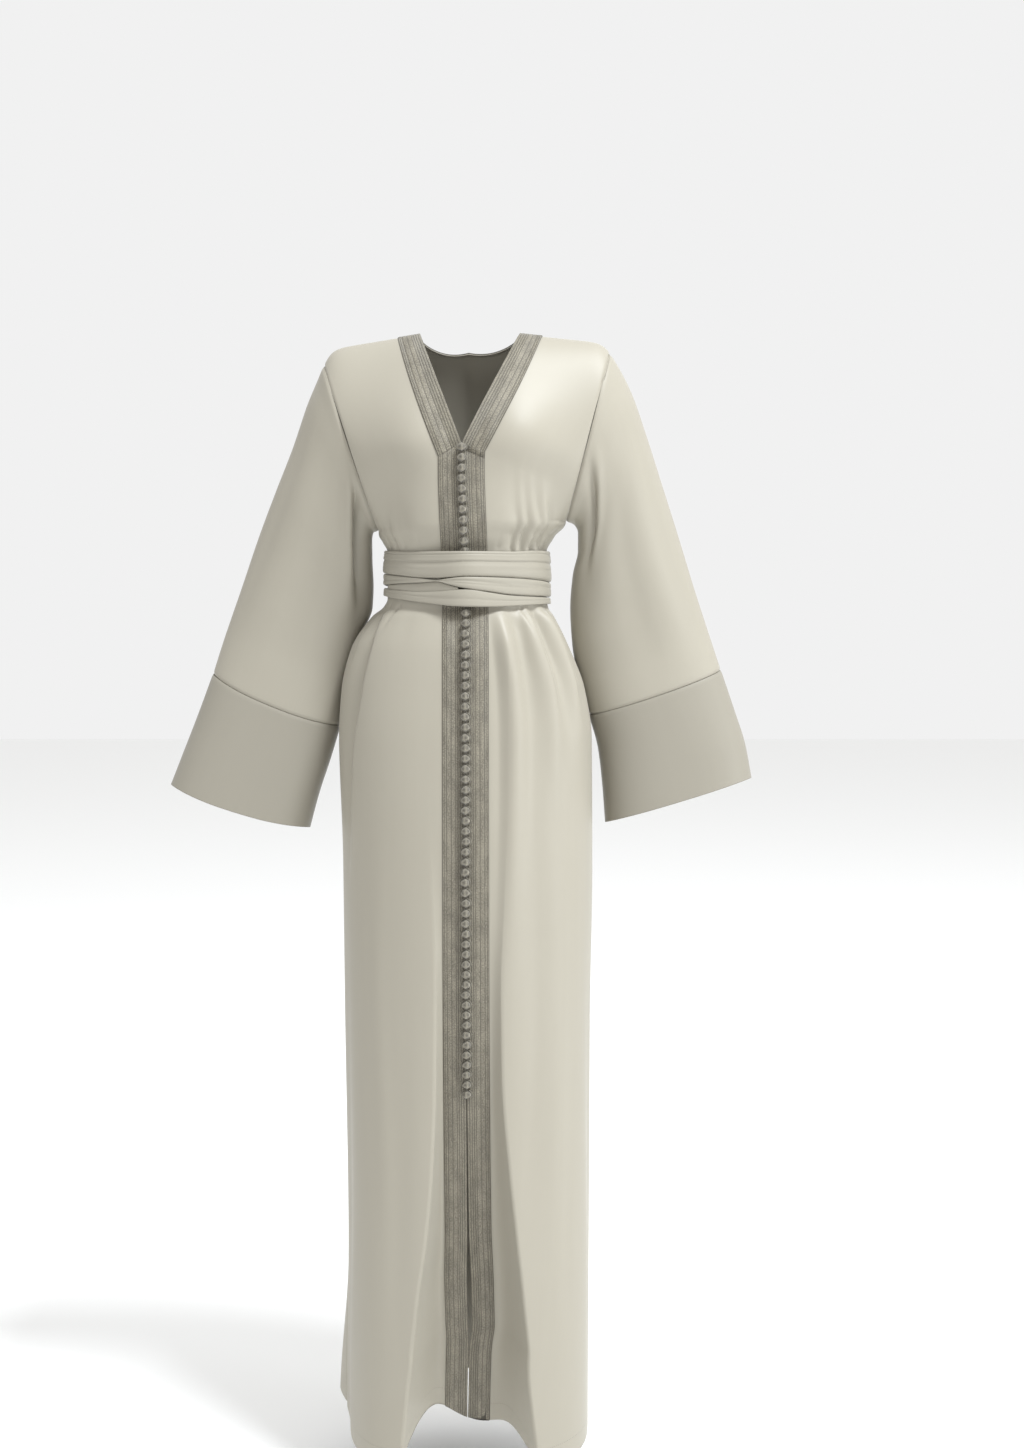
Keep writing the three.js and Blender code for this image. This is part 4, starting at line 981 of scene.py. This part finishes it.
# A stretch of the row: its balls, which the sash may hide, their loops and their cord.
def addButtons(name, first, last):
    numbers = np.arange(first, last + 1)
    z = buttons["top"] - buttons["pitch"] * numbers
    middle = middleFront(z, buttons["lift"])
    random = np.random.default_rng(7 + first)
    turned = random.uniform(-buttons["spin"], buttons["spin"], len(numbers))
    balls, bands = ballGrid(len(numbers), turned)
    middle[:, 0] += random.normal(0, buttons["stray"], len(numbers))
    addKnotted(f"balls_{name}", middle[:, None, None] + balls, bands, stands=[f"buttons_{name}"])

    # a loop of cord lies round the foot of each ball, painted part way into the hollows' painted shade
    around, section = np.meshgrid(np.linspace(0, 2 * pi, 22, endpoint=False),
                                  np.linspace(0, 2 * pi, 6, endpoint=False), indexing="ij")
    wide = buttons["loopWide"] + buttons["loopCord"] * np.cos(section)
    high = buttons["loopHigh"] + buttons["loopCord"] * np.cos(section)
    deep = -buttons["loopCord"] * np.sin(section) - buttons["loopLean"] * np.cos(around)
    loop = np.stack([wide * np.cos(around), deep, high * np.sin(around)], -1)
    foot = middle + np.array([0, buttons["loopDepth"], 0.0])
    loops = foot[:, None, None] + loop[None]
    addKnotted(f"loops_{name}", loops, buttons["loopLitShare"], caps=False, hoop=True)

    # the cord that the balls are sewn along, through the whole row, painted dark with the hollows' painted
    # shade where it lies between and behind the balls
    ends = z[0] + buttons["cordEnd"], z[-1] - buttons["cordEnd"]
    stations = middleFront(np.linspace(*ends, 3 * len(numbers)), buttons["cordLift"])
    angle = np.linspace(0, 2 * pi, 8, endpoint=False)
    ring = np.stack([np.cos(angle), np.sin(angle), 0 * angle], -1) * buttons["cord"]
    addKnotted(f"cord_{name}", stations[:, None] + ring[None], buttons["cordLitShare"])


firstUnder, lastUnder = (int(round((buttons["top"] - z) / buttons["pitch"])) for z in buttons["underSash"])
addButtons("upper", 0, firstUnder - 1)
addButtons("under_sash", firstUnder, lastUnder)
addButtons("lower", lastUnder + 1, buttons["count"] - 1)
print("buttons made")


# Edges of the sash's folds by the angle round the waist in degrees, as heights; the twist at the
# wearer's right front draws the middle fold together.
sashEdges = table(
    "turn top upper middleTop middle lens low",
    (-180, -291, -328, -328.5, -345, -345, -357),
    (-90, -291, -321.5, -322, -338.5, -341.5, -352),
    (-50, -293, -325.5, -326, -336.5, -344.5, -357),
    (-30, -294, -328.5, -329, -335.5, -347, -361),
    (-17, -294, -329, -331.4, -334, -346.5, -363.5),
    (-8, -294, -328, -329, -338.5, -345, -365.5),
    (1, -294, -326.5, -327, -343, -343.5, -366.5),
    (14, -294, -327, -327.5, -347, -347.5, -367),
    (30, -294, -328, -328.5, -351, -351.5, -366),
    (56, -292, -330.5, -331, -353, -353.5, -364),
    (90, -292, -334, -334.5, -354, -354.5, -363),
    (180, -291, -328, -328.5, -345, -345, -357),
)
sash = {"waistZ": -326, "clear": 3, "overButtons": 12.6, "buttonX": 1, "buttonReach": 36, "gap": 0.4,
        "lap": -0.2, "lensTurns": np.linspace(-70, -3, 68)}
# Faces of the folds from top edge to bottom edge: share of the width, and height.
sashFaces = {
    "upper": table("share height", (0, 0.6), (0.03, 1.7), (0.08, 2.1), (0.115, 1.5), (0.14, 2.3),
                   (0.26, 2.7), (0.34, 3.1), (0.375, 2.9), (0.40, 1.7), (0.44, 2.3), (0.62, 3.6),
                   (0.86, 3.9), (0.95, 3.3), (1, 1.2)),
    "middle": table("share height", (0, 1.0), (0.06, 2.5), (0.2, 3.2), (0.5, 3.3), (0.8, 3.4),
                    (0.94, 2.9), (1, 1.0)),
    "lens": table("share height", (0, 0.5), (0.25, 1.2), (0.6, 1.5), (1, 0.6)),
    "lower": table("share height", (0, 0.9), (0.08, 2.2), (0.35, 3.0), (0.7, 3.1), (0.9, 3.2),
                   (0.97, 2.6), (1, 1.0)),
}


# The ring round the waist that the sash lies on: four quarters of the body's ring, moved out
# along the ring's normal, and further out over the buttons.
def waistRing():
    turns = np.arange(-180, 180, 0.5)
    quarters = []
    for name, front, part in (("right", False, turns[turns < -90]),
                              ("right", True, turns[(turns >= -90) & (turns < 0)]),
                              ("left", True, turns[(turns >= 0) & (turns <= 90)]),
                              ("left", False, turns[turns > 90])):
        degrees = np.abs(part) if front else 180 - np.abs(part)
        quarters.append(bodyPoint(name, front, shareOf(np.radians(degrees)),
                                  np.full(part.shape, sash["waistZ"] - body["underarmZ"])))
    ring = np.concatenate(quarters)[:, :2]
    along = np.roll(ring, -4, 0) - np.roll(ring, 4, 0)
    along /= np.linalg.norm(along, axis=1, keepdims=True)
    over = sash["overButtons"] * bell((ring[:, 0] - sash["buttonX"]) / sash["buttonReach"])
    return turns, ring, np.stack([along[:, 1], -along[:, 0]], -1), over * (np.abs(turns) < 90)


waistTurns, waistPlace, waistOut, waistOver = waistRing()


# A point on the sash at an angle and height, this far out from its seat.
def waistPoint(turn, z, lift):
    def at(values):
        return np.interp(turn, waistTurns, values, period=360)
    out = sash["clear"] + at(waistOver) + lift
    return np.stack([at(waistPlace[:, 0]) + at(waistOut[:, 0]) * out,
                     at(waistPlace[:, 1]) + at(waistOut[:, 1]) * out, z], -1)


# One fold of the sash: its face between a top and a bottom edge that change with the angle,
# closed behind. Creases are long soft troughs in the face.
def sashFold(face, topOf, lowOf, turns, creases=()):
    share = np.sin(np.linspace(-quarterTurn, quarterTurn, 45)) / 2 + 0.5
    turn, across = np.meshgrid(turns, share, indexing="ij")
    lift = through(sashFaces[face], "share", "height", across)
    for start, end, first, last, half, height in creases:
        way = clamp((turn - start) / (end - start))
        fade = np.sin(pi * way) ** 0.5
        lift = lift + height * fade * bell((across - mix(first, last, way)) / half)
    top, low = topOf(turns)[:, None], lowOf(turns)[:, None]
    z = mix(top, low, across)
    front = waistPoint(turn, z, lift)
    behind = [waistPoint(turns, edge[:, 0], 0 * turns)[:, None] for edge in (low, top)]
    return np.concatenate([front, *behind], 1)


def sashEdge(column, shift=0.0):  # the height of one edge as a function of the angle
    return lambda turn: through(sashEdges, "turn", column, wrapped(turn)) + shift


# Creases: turn where each starts and ends, its share of the width there, half width, height.
sashCreases = {
    "upper": [(-100, -20, 0.62, 0.70, 0.05, -0.35), (-60, 60, 0.52, 0.50, 0.04, -0.3),
              (10, 110, 0.74, 0.60, 0.06, -0.4), (100, 250, 0.56, 0.66, 0.05, -0.5),
              (-170, -70, 0.22, 0.20, 0.04, -0.5)],
    "middle": [(-30, 30, 0.30, 0.42, 0.10, -0.8), (-16, 70, 0.62, 0.50, 0.08, -0.5),
               (-100, -22, 0.55, 0.45, 0.10, -0.7), (30, 160, 0.35, 0.5, 0.08, -0.5),
               (150, 260, 0.6, 0.5, 0.1, -0.6)],
    "lower": [(-90, 0, 0.30, 0.50, 0.09, -0.5), (-30, 70, 0.62, 0.45, 0.08, -0.45),
              (60, 180, 0.4, 0.55, 0.1, -0.5), (170, 270, 0.55, 0.4, 0.08, -0.6)],
}
fullTurns = np.arange(-180, 180, 1.0)
sashPieces = (
    ("sash_wrap_upper", "upper", sashEdge("top"), sashEdge("upper"), fullTurns, ["sash_upper"]),
    ("sash_wrap_middle", "middle", sashEdge("middleTop"), sashEdge("middle", sash["gap"]), fullTurns,
     ["sash_middle"]),
    ("sash_wrap_lower", "lower", sashEdge("lens"), sashEdge("low"), fullTurns, ["sash_lower"]),
    ("sash_inner_lens", "lens", sashEdge("middle", sash["lap"]), sashEdge("lens", sash["lap"]),
     sash["lensTurns"], ["sash_inner_fold"]),
)
for name, face, topOf, lowOf, turns, stands in sashPieces:
    points = sashFold(face, topOf, lowOf, turns, sashCreases.get(face, ()))
    hoop = len(turns) == len(fullTurns)
    piece = addPiece(name, points, finishes["sash"], closed=(True, hoop), caps=not hoop, stands=stands)
    shown = np.concatenate([points, points[:1]])[:, :-2] if hoop else points[:, :-2]
    declare(shown)
print("sash made")


studio = {"floorZ": -1.575, "floorSize": 14, "floorColour": (0.93, 0.93, 0.92), "floorRoughness": 0.8,
          "world": (1.0, 1.0, 1.0), "worldStrength": 0.88, "lampColour": (0.92, 0.96, 1.0)}
floorMesh = bpy.data.meshes.new("floor")
corners = [(side * studio["floorSize"], end * studio["floorSize"], studio["floorZ"])
           for side, end in ((-1, -1), (1, -1), (1, 1), (-1, 1))]
floorMesh.from_pydata(corners, [], [(0, 1, 2, 3)])
floor = bpy.data.objects.new("floor", floorMesh)
bpy.context.scene.collection.objects.link(floor)
floorFinish = bpy.data.materials.new("paleFloor")
floorFinish.use_nodes = True
shader = floorFinish.node_tree.nodes["Principled BSDF"]
shader.inputs["Base Color"].default_value = rgb(studio["floorColour"])
shader.inputs["Roughness"].default_value = studio["floorRoughness"]
floorMesh.materials.append(floorFinish)

world = bpy.data.worlds.new("studio")
bpy.context.scene.world = world
world.use_nodes = True
background = world.node_tree.nodes["Background"]
background.inputs["Color"].default_value = rgb(studio["world"])
background.inputs["Strength"].default_value = studio["worldStrength"]

# Soft boxes: place, what they face, size and power.
lamps = (
    ("key", (1.9, -1.9, 3.9), (0.05, 0, -0.5), 1.4, 365),
    ("side", (2.8, -1.2, -0.6), (0, 0, -0.9), 1.0, 20),
    ("fill", (-2.8, -2.2, 0.4), (0, 0, -0.7), 1.6, 4),
    ("behind", (0.4, 3.2, 1.0), (0, 0, -0.7), 2.4, 14),
)
for name, place, target, size, power in lamps:
    light = bpy.data.lights.new(name, "AREA")
    light.shape, light.size, light.energy, light.color = "DISK", size, power, studio["lampColour"]
    lamp = bpy.data.objects.new(name, light)
    bpy.context.scene.collection.objects.link(lamp)
    away = np.array(place) - np.array(target)
    lamp.location = place
    lamp.rotation_euler = (np.arctan2(np.hypot(away[0], away[1]), away[2]), 0,
                           np.arctan2(away[0], -away[1]))

bpy.context.scene.view_settings.view_transform = "Standard"

view = {"place": (0.063, -2.6, -0.358), "pitch": np.radians(3.73), "lens": 47.24, "sensor": 36}
camera = bpy.data.objects.new("camera", bpy.data.cameras.new("camera"))
bpy.context.scene.collection.objects.link(camera)
camera.data.lens, camera.data.sensor_width = view["lens"], view["sensor"]
camera.location = view["place"]
camera.rotation_euler = (quarterTurn - view["pitch"], 0, 0)
bpy.context.scene.camera = camera
print("studio made")
